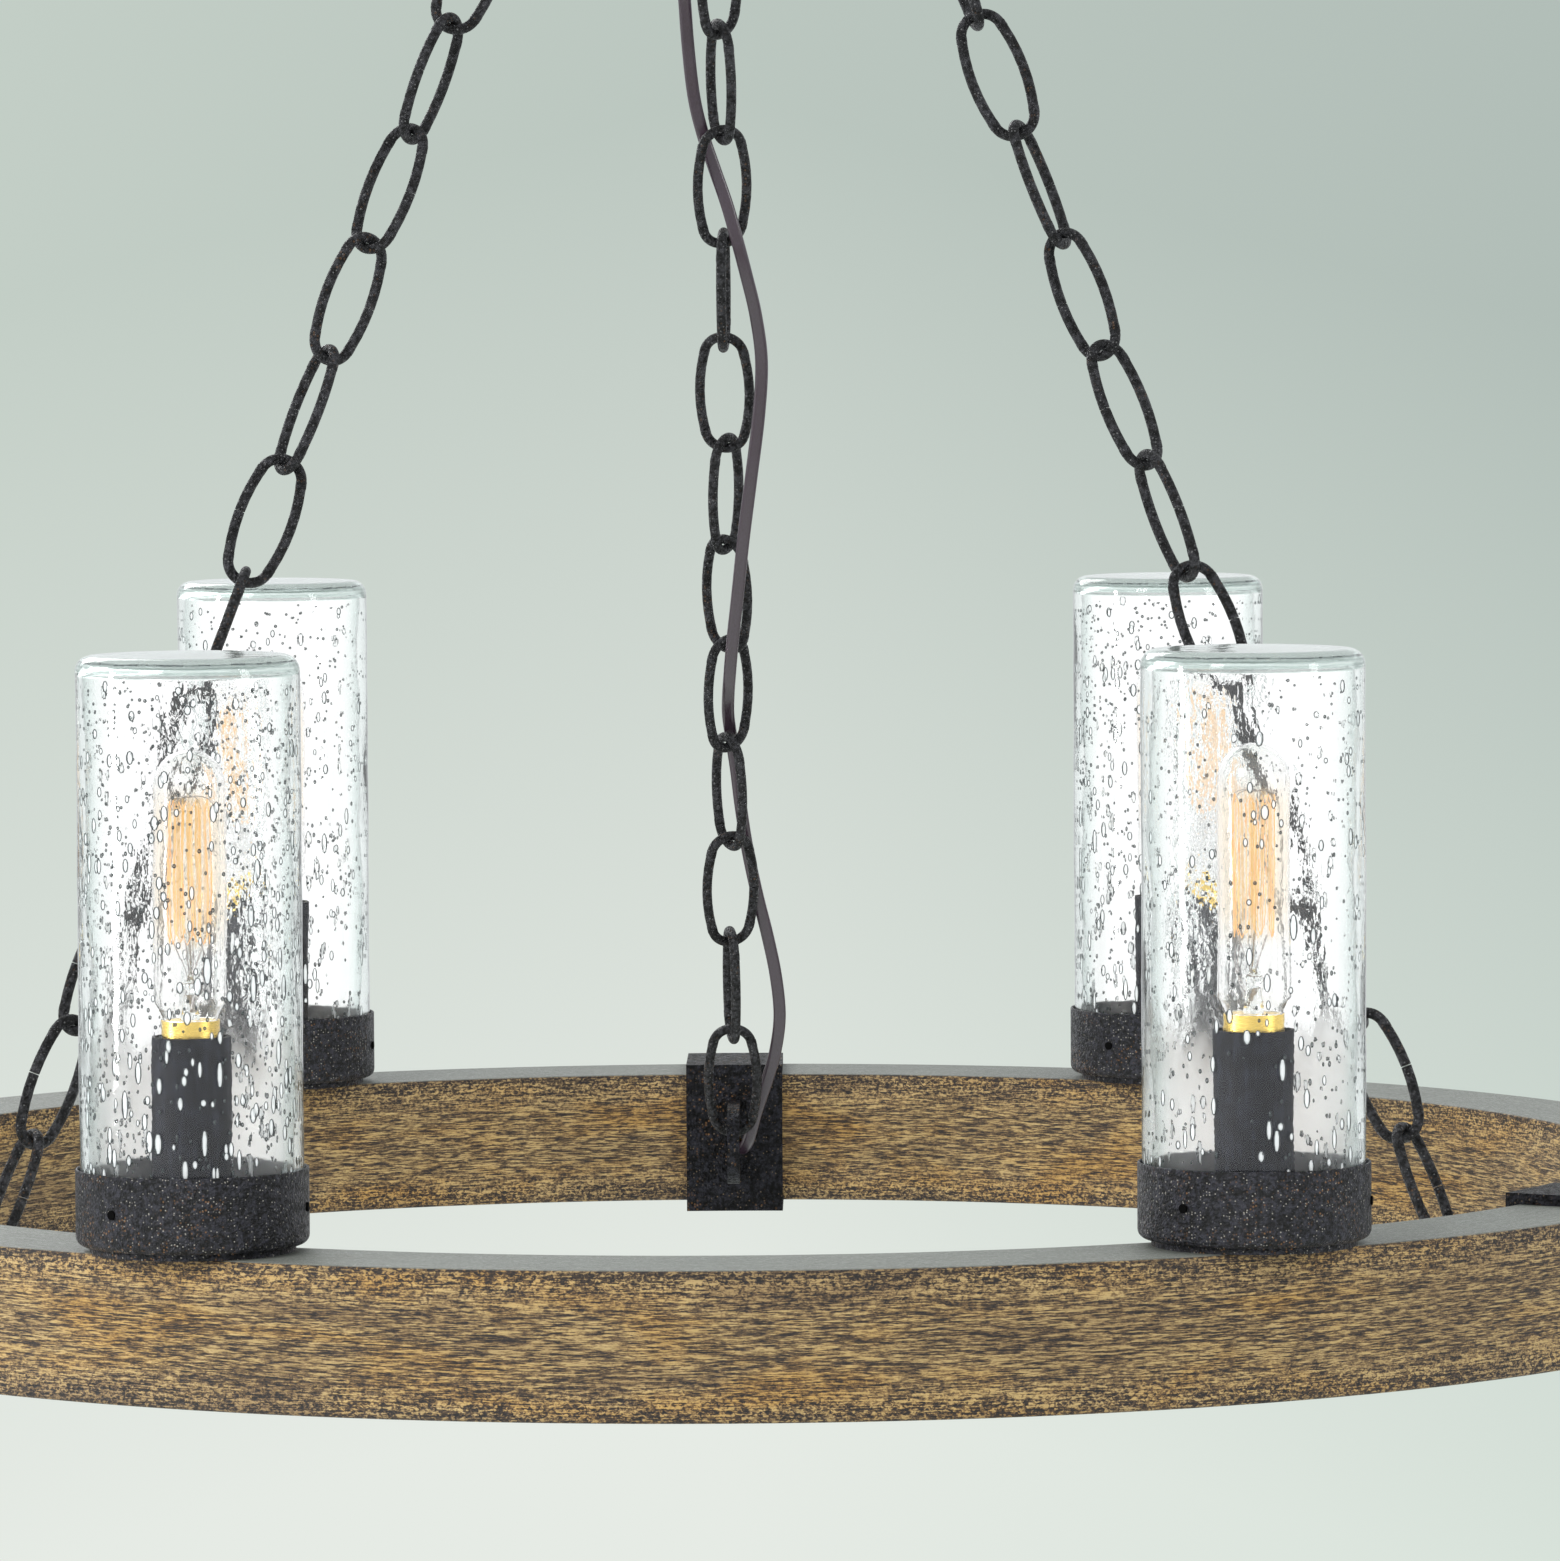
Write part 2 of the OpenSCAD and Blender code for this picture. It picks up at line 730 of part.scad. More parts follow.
// The flat cord as one tube of eight sides along a route
module cord(route, steps) {
    p = smooth(route, steps);
    n = len(p);
    sides = 8;
    rings = [for (i = [0:n - 1])
        let (h = heading(p, i), across = unit(cross([0, -1, -0.2], h)), out = cross(h, across))
        for (s = [0:sides - 1])
            let (a = (s + 0.5) * 360 / sides)
            p[i] + across * cord_w / 2 * cos(a) / cos(180 / sides)
            + out * cord_t / 2 * sin(a) / cos(180 / sides)];
    walls = [for (i = [0:n - 2], s = [0:sides - 1])
        let (q = i * sides, t = (s + 1) % sides)
        [q + s, q + sides + s, q + sides + t, q + t]];
    first = [for (s = [0:sides - 1]) s];
    last = [for (s = [sides - 1:-1:0]) (n - 1) * sides + s];
    polyhedron(points = rings, faces = concat([first, last], walls));
}

// An upright stretch of the cord below its bushing
module cord_run(from, to) {
    cord([for (i = [0:3]) [cord_exit[0], cord_exit[1], from + (to - from) * i / 3]], 1);
}

for (k = [1:lights]) {
    color([0.20, 0.19, 0.20]) cup(k);
    color([0.16, 0.17, 0.20]) candle_sleeve(k);
    color([0.86, 0.92, 0.90, 0.35]) glass_shade(k);
    color([0.95, 0.86, 0.70, 0.4]) bulb_glass(k);
    color([0.80, 0.64, 0.25]) bulb_base(k);
    color([1.0, 0.62, 0.20]) bulb_filament(k);
}
for (c = [1:chains]) {
    color([0.50, 0.37, 0.24]) ring_segment(c);
    color([0.13, 0.13, 0.15]) ring_bracket(c);
    color([0.17, 0.16, 0.17]) chain(c);
}
color([0.1, 0.1, 0.1]) lamp_sockets();
color([0.7, 0.7, 0.68]) socket_stems();
color([0.65, 0.65, 0.63]) stem_nuts();
color([0.08, 0.08, 0.09]) shade_screws();
color([0.15, 0.15, 0.17]) hub();
color([0.15, 0.15, 0.17]) hub_loop();
color([0.17, 0.16, 0.17]) top_link();
color([0.15, 0.15, 0.17]) canopy_loop();
color([0.3, 0.3, 0.3]) hub_nut();
color([0.15, 0.15, 0.17]) canopy();
color([0.72, 0.73, 0.74]) mounting_bar();
color([0.1, 0.1, 0.1]) cord_bushing();
color([0.24, 0.15, 0.17]) cord(cord_route, 2);  // supply_cord
color([0.24, 0.15, 0.17]) cord_run(cord_join_z, cord_mid_z);  // cord_rise
color([0.24, 0.15, 0.17]) cord_run(cord_mid_z, cord_top_z);  // cord_entry
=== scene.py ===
"""Looks of a ring chandelier: a wooden ring on three chains, with six seeded glass shades over tubular lamps.

Lengths are in metres. The frame's origin is in the ceiling, +Z is up and -Y faces the camera.
"""

import math

import bpy
import numpy as np
from bpy.props import FloatProperty, FloatVectorProperty, IntProperty, PointerProperty
from mathutils import Matrix, Vector


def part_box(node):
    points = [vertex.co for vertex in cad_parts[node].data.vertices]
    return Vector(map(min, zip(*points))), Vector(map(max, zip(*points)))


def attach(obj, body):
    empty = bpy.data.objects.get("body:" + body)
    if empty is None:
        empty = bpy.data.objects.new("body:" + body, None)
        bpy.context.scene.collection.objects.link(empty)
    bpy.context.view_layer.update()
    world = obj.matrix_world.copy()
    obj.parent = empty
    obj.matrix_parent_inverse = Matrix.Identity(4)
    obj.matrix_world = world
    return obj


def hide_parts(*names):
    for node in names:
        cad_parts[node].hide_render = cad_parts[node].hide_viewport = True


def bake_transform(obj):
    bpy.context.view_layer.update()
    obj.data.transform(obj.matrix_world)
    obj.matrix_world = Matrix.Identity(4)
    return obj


bl_info = {
    "name": "Ring Chandelier",
    "version": (1, 0, 0),
    "blender": (4, 5, 0),
    "location": "3D View > Sidebar > Chandelier",
    "description": "Dresses the chandelier's solids with wood, iron, seeded glass, lamps and cord",
    "category": "Object",
}

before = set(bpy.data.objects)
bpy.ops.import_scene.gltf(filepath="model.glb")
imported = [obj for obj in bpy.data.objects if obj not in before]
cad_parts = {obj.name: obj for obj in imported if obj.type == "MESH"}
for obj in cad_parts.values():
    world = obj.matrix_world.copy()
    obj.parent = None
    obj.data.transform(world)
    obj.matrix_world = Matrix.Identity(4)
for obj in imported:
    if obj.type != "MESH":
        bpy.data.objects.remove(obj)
CHAINS = (1, 2, 3)
LIGHTS = (1, 2, 3, 4, 5, 6)

# Bearings in degrees of the lights and of the chains' brackets, and the circle on which the lights stand
FIRST_LIGHT = 240.0
LIGHT_STEP = 60.0
FIRST_BRACKET = 89.2
BRACKET_STEP = 120.0
LIGHT_CIRCLE = 0.463

RING_LOW, RING_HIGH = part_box("ring_segment_1")
RING_TOP = RING_HIGH.z
RING_BOTTOM = RING_LOW.z
SHADE_LOW, SHADE_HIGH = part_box("glass_shade_1")
SHADE_RADIUS = (SHADE_HIGH.x - SHADE_LOW.x) / 2
BULB_LOW, BULB_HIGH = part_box("bulb_glass_1")
BULB_RADIUS = (BULB_HIGH.x - BULB_LOW.x) / 2

# A shade's wall, its closed top, the rounds of its shoulder, the room kept for the waves of its wall, and how
# far down its rim glass reaches
SHADE_WALL = 0.0040
SHADE_TOP = 0.0050
SHOULDER = 0.0070
INNER_SHOULDER = 0.0045
WAVE_ROOM = 0.00032
CROWN = 0.0066
SHADE_TURNS = 128

# Frost on the shades, from its full depth at the foot to none, as heights above the ring
FROST_LOW = 0.010
FROST_HIGH = 0.130

# Seeds: each shade's share, the bare stretches, the dots' share at the foot and its growth, the large ones'
# threshold, half widths as least and spread, and depths in the wall
SEED_SHARES = (1.0, 0.42, 0.6, 0.85, 0.5, 0.6)
SEED_FOOT = 0.004
SEED_CROWN = 0.012
DOT_SHARE = (0.60, 0.22)
LARGE_FROM = 0.90
DOT_WIDTH = (0.00050, 0.00036)
BUBBLE_WIDTH = (0.00085, 0.00085)
SEED_DEPTH = 0.0011
SEED_MIDDLE = 0.0023
SEED_SCATTER = 0.0016
SEED_SIDES = 8
SEED_RINGS = 5

# A lamp's tube wall, its lit wires (heights above the ring, circle, sweep, bends, turn) and their supports
TUBE_WALL = 0.0008
WIRES_LOW = 0.1345
WIRES_HIGH = 0.1965
WIRES_REACH = 0.0088
WIRES_SWEEP = 1.86 * math.pi
WIRES_BEND = 0.06
FIRST_TURN = 1.5
TURN_STEP = 1.1
SUPPORT_ARMS = 5
SUPPORT_RADIUS = 0.00022
LEAD_RADIUS = 0.00026

# The camera's shift and reach, how far the view opens to each side as a direction, and the floor that fades out
CAMERA_SHIFT = 0.0379
CAMERA_REACH = 100.0
VIEW_SIDE = 0.085
FLOOR_FADE = (3.6, 1.8)
FLOOR_RADIUS = 3.8
FLOOR_RINGS = 23
FLOOR_TURNS = 96

CORD_WIDTH = 0.0064
CORD_THICKNESS = 0.0032
CORD_SIDES = 20
CORD_ROWS = 25
UP = np.array([0.0, 0.0, 1.0])

# The cord's route from the hole in the wood, laced through the chain, to the upright run beside the hub, and
# the heights at which that run changes bodies and ends
CORD_POINTS = (
    (0.00613, 0.43896, -0.95829),
    (0.00655, 0.42595, -0.95889),
    (0.00804, 0.41793, -0.95989),
    (0.01033, 0.41040, -0.95929),
    (0.01243, 0.40337, -0.95579),
    (0.01416, 0.39778, -0.95009),
    (0.01785, 0.39015, -0.93637),
    (0.02285, 0.38298, -0.92124),
    (0.02704, 0.37535, -0.90631),
    (0.02950, 0.36508, -0.88646),
    (0.02758, 0.35626, -0.86480),
    (0.02328, 0.34907, -0.84305),
    (0.01818, 0.34212, -0.82181),
    (0.01345, 0.33313, -0.79842),
    (0.01010, 0.32229, -0.77582),
    (0.00778, 0.31368, -0.75589),
    (0.00548, 0.30616, -0.73973),
    (0.00394, 0.29653, -0.72752),
    (0.00398, 0.28503, -0.71733),
    (0.00479, 0.27171, -0.70550),
    (0.00623, 0.26026, -0.68920),
    (0.00887, 0.24821, -0.66527),
    (0.01190, 0.23599, -0.63716),
    (0.01593, 0.22401, -0.60590),
    (0.01999, 0.21387, -0.57385),
    (0.02147, 0.20507, -0.54730),
    (0.01873, 0.19514, -0.52430),
    (0.01418, 0.18496, -0.50446),
    (0.00929, 0.17843, -0.48546),
    (0.00446, 0.17598, -0.46834),
    (-0.00116, 0.17490, -0.45184),
    (-0.00700, 0.17224, -0.43421),
    (-0.01128, 0.16638, -0.41553),
    (-0.01403, 0.15580, -0.38978),
    (-0.01600, 0.14365, -0.36167),
    (-0.02035, 0.11830, -0.31860),
    (-0.02577, 0.08837, -0.25460),
    (-0.03074, 0.05443, -0.20260),
    (-0.03306, 0.03146, -0.17860),
    (-0.03400, 0.02200, -0.16060),
    (-0.03400, 0.02200, -0.15388),
    (-0.03400, 0.02200, -0.14715),
)
CORD_MIDDLE = -0.094575
CORD_TOP = -0.004


def linear(red, green, blue):
    """A colour written in display values of 0 to 255, as the linear values that sockets take."""
    shown = np.array([red, green, blue]) / 255.0
    return tuple(np.where(shown <= 0.04045, shown / 12.92, ((shown + 0.055) / 1.055) ** 2.4))


def scaled(colour, factor):
    """A colour made darker or lighter by a factor."""
    return tuple(factor * value for value in colour)


# Surfaces


def grid_faces(rows, columns):
    """Quads of a grid whose columns close on themselves: cell (i, j) joins rows i, i+1 and columns j, j+1."""
    row, column = np.meshgrid(np.arange(rows - 1), np.arange(columns), indexing="ij")
    after = (column + 1) % columns
    quads = np.stack([row * columns + column, row * columns + after,
                      (row + 1) * columns + after, (row + 1) * columns + column], axis=-1)
    return quads.reshape(-1, 4)


def fan_faces(ring_start, columns, pole, flip):
    """Triangles from one ring of a grid to a pole point, the other way round where flip is true."""
    column = np.arange(columns)
    after = (column + 1) % columns
    pair = (after, column) if flip else (column, after)
    return np.stack([np.full(columns, pole), ring_start + pair[0], ring_start + pair[1]], axis=-1)


def capped_faces(rows, columns):
    """Faces of a tube closed by two fans, to the two pole points that follow the points of its grid."""
    poles = rows * columns
    return [grid_faces(rows, columns), fan_faces(0, columns, poles, True),
            fan_faces(poles - columns, columns, poles + 1, False)]


def spun(line, turns, wave=None):
    """A line of (radius, height) turned about the axis: (r cos a, r sin a, z), with wave(a, z) added to r."""
    r = np.repeat(line[:, :1], turns, axis=1)
    z = np.repeat(line[:, 1:], turns, axis=1)
    a = np.repeat(np.arange(turns)[None] * 2 * math.pi / turns, len(line), axis=0)
    if wave is not None:
        r = r + wave(a, z)
    return np.stack([r * np.cos(a), r * np.sin(a), z], axis=-1).reshape(-1, 3)


def closed_lathe(line, turns, wave=None):
    """A spun line whose first and last points lie on the axis, where a fan of triangles closes it."""
    points = np.vstack([spun(line[1:-1], turns, wave), [[0, 0, line[0, 1]], [0, 0, line[-1, 1]]]])
    return points, capped_faces(len(line) - 2, turns)


def round_corner(centre_r, centre_z, size, start, end, steps):
    """Points of a round in a profile: (r + size cos a, z + size sin a), with a from start to end degrees."""
    a = np.radians(np.linspace(start, end, steps))
    return np.stack([centre_r + size * np.cos(a), centre_z + size * np.sin(a)], axis=-1)


def swept(path, section, reference):
    """A closed section carried along a path: each point is p + u across + v out, where across is square to
    the reference and the path's direction, and out is square to both. The two ends are closed by fans."""
    ahead = np.gradient(path, axis=0)
    ahead /= np.linalg.norm(ahead, axis=1, keepdims=True)
    across = np.cross(np.broadcast_to(reference, path.shape), ahead)
    across /= np.linalg.norm(across, axis=1, keepdims=True)
    out = np.cross(ahead, across)
    points = path[:, None] + section[:, :1] * across[:, None] + section[:, 1:] * out[:, None]
    return np.vstack([points.reshape(-1, 3), path[:1], path[-1:]]), capped_faces(len(path), len(section))


def outward(angle):
    """Level unit vectors at angles round the upright axis."""
    return np.stack([np.cos(angle), np.sin(angle), 0 * angle], axis=-1)


def circle(radius, sides):
    """Points of a circle, as a section."""
    a = np.arange(sides) * 2 * math.pi / sides
    return np.stack([radius * np.cos(a), radius * np.sin(a)], axis=-1)


def smooth_path(points, steps):
    """A Catmull-Rom curve: each stretch is the cubic that heeds its two points and the ones before and after."""
    p = np.asarray(points, float)
    p = np.vstack([2 * p[:1] - p[1:2], p, 2 * p[-1:] - p[-2:-1]])
    a, b, c, d = p[:-3], p[1:-2], p[2:-1], p[3:]
    t = (np.arange(steps) / steps)[None, :, None]
    curve = 0.5 * ((2 * b)[:, None] + (c - a)[:, None] * t + (2 * a - 5 * b + 4 * c - d)[:, None] * t ** 2
                   + (3 * b - a - 3 * c + d)[:, None] * t ** 3)
    return np.vstack([curve.reshape(-1, 3), c[-1:]])


def joined(parts):
    """Several (points, faces) surfaces as one, each list of faces moved on by the points before it."""
    points, faces, offset = [], [], 0
    for vertices, groups in parts:
        points.append(vertices)
        faces += [group + offset for group in groups]
        offset += len(vertices)
    return np.vstack(points), faces


def piece(name, surface, material, body=None, at=(0, 0, 0)):
    """A mesh object from a (points, faces) surface at its place, with its material and body."""
    points, groups = surface
    mesh = bpy.data.meshes.new(name)
    mesh.from_pydata((points + at).tolist(), [], [face for group in groups for face in group.tolist()])
    mesh.materials.append(material)
    mesh.polygons.foreach_set("use_smooth", np.full(len(mesh.polygons), True))
    mesh.update()
    made = bpy.data.objects.new(name, mesh)
    bpy.context.scene.collection.objects.link(made)
    if body is not None:
        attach(made, body)
    return made


def let_light_by(made):
    """Keeps a piece of clear glass or glow from casting a shadow."""
    made.visible_shadow = made.visible_diffuse = False


def dress(node, material):
    """Gives a solid of the frame its finish."""
    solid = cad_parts[node]
    solid.data.materials.clear()
    solid.data.materials.append(material)


def light_centre(k):
    """Where light k stands on the ring: its circle's radius at the light's bearing."""
    bearing = math.radians(FIRST_LIGHT + (k - 1) * LIGHT_STEP)
    return np.array([LIGHT_CIRCLE * math.cos(bearing), LIGHT_CIRCLE * math.sin(bearing), RING_TOP])


# Finishes


class Nodes:
    """A node tree, written as calls that add nodes and return their first output."""

    def __init__(self, tree):
        self.tree = tree
        tree.nodes.clear()

    def give(self, socket, value):
        """Links a socket or sets its value, where a colour gets its alpha."""
        if isinstance(value, bpy.types.NodeSocket):
            self.tree.links.new(value, socket)
        else:
            socket.default_value = (*value, 1.0) if socket.type == "RGBA" else value

    def add(self, kind, values=None, **options):
        """A shader node with its options, and with its inputs by number or name."""
        node = self.tree.nodes.new("ShaderNode" + kind)
        for key, value in options.items():
            setattr(node, key, value)
        for key, value in (values or {}).items():
            self.give(node.inputs[key], value)
        return node

    def math(self, operation, a, b=0.0):
        return self.add("Math", {0: a, 1: b}, operation=operation).outputs[0]

    def plus(self, a, b):
        return self.math("ADD", a, b)

    def minus(self, a, b):
        return self.math("SUBTRACT", a, b)

    def times(self, a, b):
        return self.math("MULTIPLY", a, b)

    def length(self, x, y):
        """Distance from the upright axis."""
        return self.math("SQRT", self.plus(self.times(x, x), self.times(y, y)))

    def parts(self, vector):
        """A vector's x, y and z."""
        return self.add("SeparateXYZ", {0: vector}).outputs

    def steps(self, value, low, high, to_low=0.0, to_high=1.0):
        """Leads a value from low to high over into another range, and holds it there beyond the ends."""
        return self.add("MapRange", {"Value": value, "From Min": low, "From Max": high, "To Min": to_low,
                                     "To Max": to_high}, clamp=True).outputs[0]

    def ramp(self, value, *stops):
        """Colours at positions; a single number stands for a grey."""
        node = self.add("ValToRGB", {"Fac": value})
        elements = node.color_ramp.elements
        while len(elements) < len(stops):
            elements.new(1.0)
        for element, (position, colour) in zip(elements, stops):
            element.position = position
            element.color = (*np.broadcast_to(colour, 3), 1.0)
        return node.outputs[0]

    def mix(self, factor, a, b, blend="MIX"):
        return self.add("Mix", {0: factor, 6: a, 7: b}, data_type="RGBA", blend_type=blend).outputs[2]

    def stained(self, factor, colour, stain):
        """A colour that is multiplied by a stain where the factor is one."""
        return self.mix(factor, colour, self.mix(1.0, colour, stain, "MULTIPLY"))

    def facing(self):
        """From 0 where a surface is seen square on to 1 where it is seen along its length."""
        return self.add("LayerWeight", {"Blend": 0.5}).outputs["Facing"]

    def bump(self, height, strength, distance):
        return self.add("Bump", {"Height": height, "Strength": strength, "Distance": distance}).outputs[0]


class Finish(Nodes):
    """A material with one principled shader."""

    def __init__(self, name, coordinates="Object"):
        self.material = bpy.data.materials.new(name)
        self.material.use_nodes = True
        super().__init__(self.material.node_tree)
        self.place = self.add("TexCoord").outputs[coordinates]
        self.surface = self.add("BsdfPrincipled")
        self.add("OutputMaterial", {"Surface": self.surface.outputs[0]})

    def noise(self, scale, detail, roughness, distortion=0.0):
        """Noise on the material's coordinates, with one scale, or with one along each axis."""
        vector = self.place
        if isinstance(scale, tuple):
            vector, scale = self.add("Mapping", {"Vector": vector, "Scale": scale}).outputs[0], 1.0
        return self.add("TexNoise", {"Vector": vector, "Scale": scale, "Detail": detail,
                                     "Roughness": roughness, "Distortion": distortion}).outputs[0]

    def band(self, low, full_low, full_high, high):
        """One between two heights above the ring, fading to none at two others beyond them."""
        z = self.parts(self.place)[2]
        return self.times(self.steps(z, RING_TOP + low, RING_TOP + full_low),
                          self.steps(z, RING_TOP + high, RING_TOP + full_high))

    def set(self, **values):
        """Sets or links the shader's sockets, named with underscores for spaces, and returns the material."""
        for key, value in values.items():
            self.give(self.surface.inputs[key.replace("_", " ")], value)
        return self.material


def wood_finish(name, bearing, wood):
    """Stained wood whose grain follows the ring: noise on (arc length, radius, height), long along the arc.

    Towards the upper and lower edge the grain breaks into short flecks and darkens, which is painted shade where
    the faces round over. The bearing is that of the segment's middle, so that the angle's jump falls on the
    ring's far side."""
    f = Finish(name)
    x, y, z = f.parts(f.add("VectorRotate", {"Vector": f.place, "Angle": -math.radians(bearing)},
                            rotation_type="Z_AXIS").outputs[0])
    along = f.times(f.math("ARCTAN2", y, x), LIGHT_CIRCLE)
    f.place = f.add("CombineXYZ", {0: along, 1: f.length(x, y), 2: z}).outputs[0]
    middle, half = (RING_TOP + RING_BOTTOM) / 2, (RING_TOP - RING_BOTTOM) / 2
    edge = f.math("ABSOLUTE", f.math("DIVIDE", f.minus(z, middle), half))
    streak = f.noise((22, 460, 500), 6.0, 0.66, 0.5)
    thread = f.noise((130, 1500, 1500), 3.0, 0.7, 0.3)
    fleck = f.noise((520, 760, 760), 2.0, 0.6, 0.8)
    patch = f.noise((9, 26, 30), 3.0, 0.6, 0.5)
    rough = f.steps(edge, 0.35, 0.85, 0.16, 0.55)
    fine = f.add("Mix", {0: rough, 2: thread, 3: fleck}).outputs[0]
    tone = f.plus(f.times(streak, 0.20), f.times(fine, 0.80))
    colour = f.ramp(tone, (0.430, wood.pore), (0.462, wood.dark_stain), (0.505, wood.body),
                    (0.570, wood.light_grain))
    warm = f.stained(f.steps(patch, 0.48, 0.64, 0.0, 0.9), colour, wood.golden_glaze)
    grey = f.stained(f.steps(patch, 0.48, 0.36, 0.0, 0.9), warm, (0.66, 0.62, 0.62))
    # Darker towards the upper and lower edges: painted shade where the faces round over, broken up by the
    # grain's flecks
    near_edge = f.steps(f.minus(edge, f.times(f.minus(fine, 0.5), 2.8)), 0.70, 0.98)
    shaded = f.math("MAXIMUM", f.times(near_edge, 0.85), f.steps(edge, 0.84, 1.0, 0.0, 0.45))
    edge_shaded = f.stained(shaded, grey, (0.22, 0.18, 0.20))
    # The upward top face is painted grey: a painted reflection of the pale room, broken by the grain
    upward = f.parts(f.add("TexCoord").outputs["Normal"])[2]
    painted_top_reflection = f.ramp(fine, (0.38, scaled(wood.top_reflection, 0.72)), (0.60, wood.top_reflection))
    shown = f.mix(f.steps(upward, 0.6, 0.9), edge_shaded, painted_top_reflection)
    height = f.plus(fine, f.times(streak, 0.4))
    return f.set(Base_Color=shown, Roughness=f.steps(tone, 0.42, 0.60, 0.60, 0.36), Specular_IOR_Level=0.5,
                 Normal=f.bump(height, 1.0, 0.0013))


def iron_finish(name, iron, body, speck, rust_amount, size, roughness, gloss):
    """Blackened iron: a dark pitted coat, with painted shade in its dents and painted highlight on its raised
    parts, sparse pale and brown specks, and brown rust in patches.
    """
    f = Finish(name)
    fine_pits = f.noise(620 * size, 4.0, 0.65)
    dents = f.noise(300 * size, 2.0, 0.6, 0.4)
    pits = f.plus(f.times(fine_pits, 0.55), f.times(dents, 0.45))
    cloud = f.noise(42 * size, 3.0, 0.6, 0.6)
    crumb, chosen = f.add("TexVoronoi", {"Vector": f.place, "Scale": 820 * size}).outputs[:2]
    pick = f.add("SeparateColor", {0: chosen}).outputs[0]
    # The coat's own mottling, darkened in the dents as painted shade and lightened on the raised parts as
    # painted highlight, following the bump's height
    coat = f.ramp(pits, (0.42, scaled(body, 0.10)), (0.495, body), (0.58, scaled(body, 3.4)))
    specked = f.mix(f.times(f.steps(crumb, 0.34, 0.18), f.steps(pick, 0.72, 0.80)), coat, speck)
    crust = f.times(f.steps(pick, 0.30, 0.16), f.steps(crumb, 0.48, 0.26))
    rusty = f.times(f.times(f.steps(cloud, 0.50, 0.64), crust), rust_amount)
    height = f.plus(pits, f.times(crumb, 0.4))
    return f.set(Base_Color=f.mix(rusty, specked, iron.rust), Specular_IOR_Level=gloss,
                 Roughness=f.steps(pits, 0.42, 0.58, roughness + 0.16, roughness - 0.12),
                 Normal=f.bump(height, 1.0, 0.0022 / size))


def sleeve_finish(iron):
    """Charcoal paint, with lighter upright streaks painted in as reflections and a few lighter scuffs."""
    f = Finish("candle_sleeve_charcoal")
    # Lighter upright streaks: painted reflections of the bright room on the sleeve
    reflection_streaks = f.noise((520, 520, 40), 3.0, 0.6)
    mottled = f.noise(160, 3.0, 0.6)
    tone = f.plus(f.times(reflection_streaks, 0.5), f.times(mottled, 0.5))
    colour = f.ramp(tone, (0.38, (0.002, 0.0025, 0.004)), (0.50, scaled(iron.charcoal, 0.55)),
                    (0.64, scaled(iron.charcoal, 1.6)))
    return f.set(Base_Color=colour, Roughness=0.62, Specular_IOR_Level=0.10)


def metal_finish(name, colour, roughness):
    """Bare metal: fine turning marks in its roughness and bump."""
    f = Finish(name)
    marks = f.noise((300, 300, 2600), 3.0, 0.6)
    tint = f.mix(f.steps(marks, 0.3, 0.7, 0.0, 0.45), colour, scaled(colour, 0.62))
    return f.set(Base_Color=tint, Metallic=1.0, Normal=f.bump(marks, 0.25, 0.0002),
                 Roughness=f.steps(marks, 0.3, 0.7, roughness, roughness + 0.16))


def plastic_finish(name, colour, roughness):
    """Moulded plastic with a faint orange-peel surface."""
    f = Finish(name)
    peel = f.noise(900, 2.0, 0.5)
    return f.set(Base_Color=f.mix(f.steps(peel, 0.3, 0.7, 0.0, 0.3), colour, scaled(colour, 1.5)),
                 Roughness=roughness, Normal=f.bump(peel, 0.2, 0.0002))


def glass_finish(name, tint):
    """Clear thin glass."""
    return Finish(name).set(Base_Color=tint, Roughness=0.0, IOR=1.5, Transmission_Weight=1.0)


def shade_finish(name, glass, inner):
    """Hand-blown glass: uneven walls, grey-green where a wall is seen along its length with painted shade near
    black at its very edge, and a frosted foot.

    The frost lies on the outer wall. It shows where the eye's ray leaves the glass there, so it veils what
    stands behind the shade and not the lamp in it. The inner wall puckers where the air inside meets it."""
    f = Finish(name)
    backfacing = f.add("NewGeometry").outputs["Backfacing"]
    # Grey-green where the wall is seen aslant is the glass's own colour; the near black at the very edge is
    # painted shade
    tint = f.ramp(f.facing(), (0.0, (1.0, 1.0, 1.0)), (0.42, (0.975, 0.99, 0.985)), (0.60, glass.edge),
                  (0.78, scaled(glass.edge, 0.74)), (0.88, (0.10, 0.12, 0.12)))
    ripple = f.noise((62, 62, 26), 3.0, 0.6, 0.6)
    pucker = f.noise((260, 260, 130), 2.0, 0.6, 0.5)
    height = f.plus(ripple, f.times(pucker, 0.45))
    f.set(Base_Color=tint, Roughness=0.0, IOR=1.36, Transmission_Weight=1.0)
    if inner:
        met = f.minus(1.0, backfacing)
        return f.set(Normal=f.bump(height, f.steps(met, 0.0, 1.0, 0.03, 0.20), 0.0030))
    rise = f.plus(f.parts(f.place)[2], f.times(f.minus(ripple, 0.5), 0.05))
    frost = f.ramp(f.steps(rise, RING_TOP + FROST_LOW, RING_TOP + FROST_HIGH), (0.0, 0.75), (0.45, 0.60),
                   (0.72, 0.18), (1.0, 0.0))
    return f.set(Roughness=f.times(frost, backfacing), Normal=f.bump(height, 0.03, 0.0030))


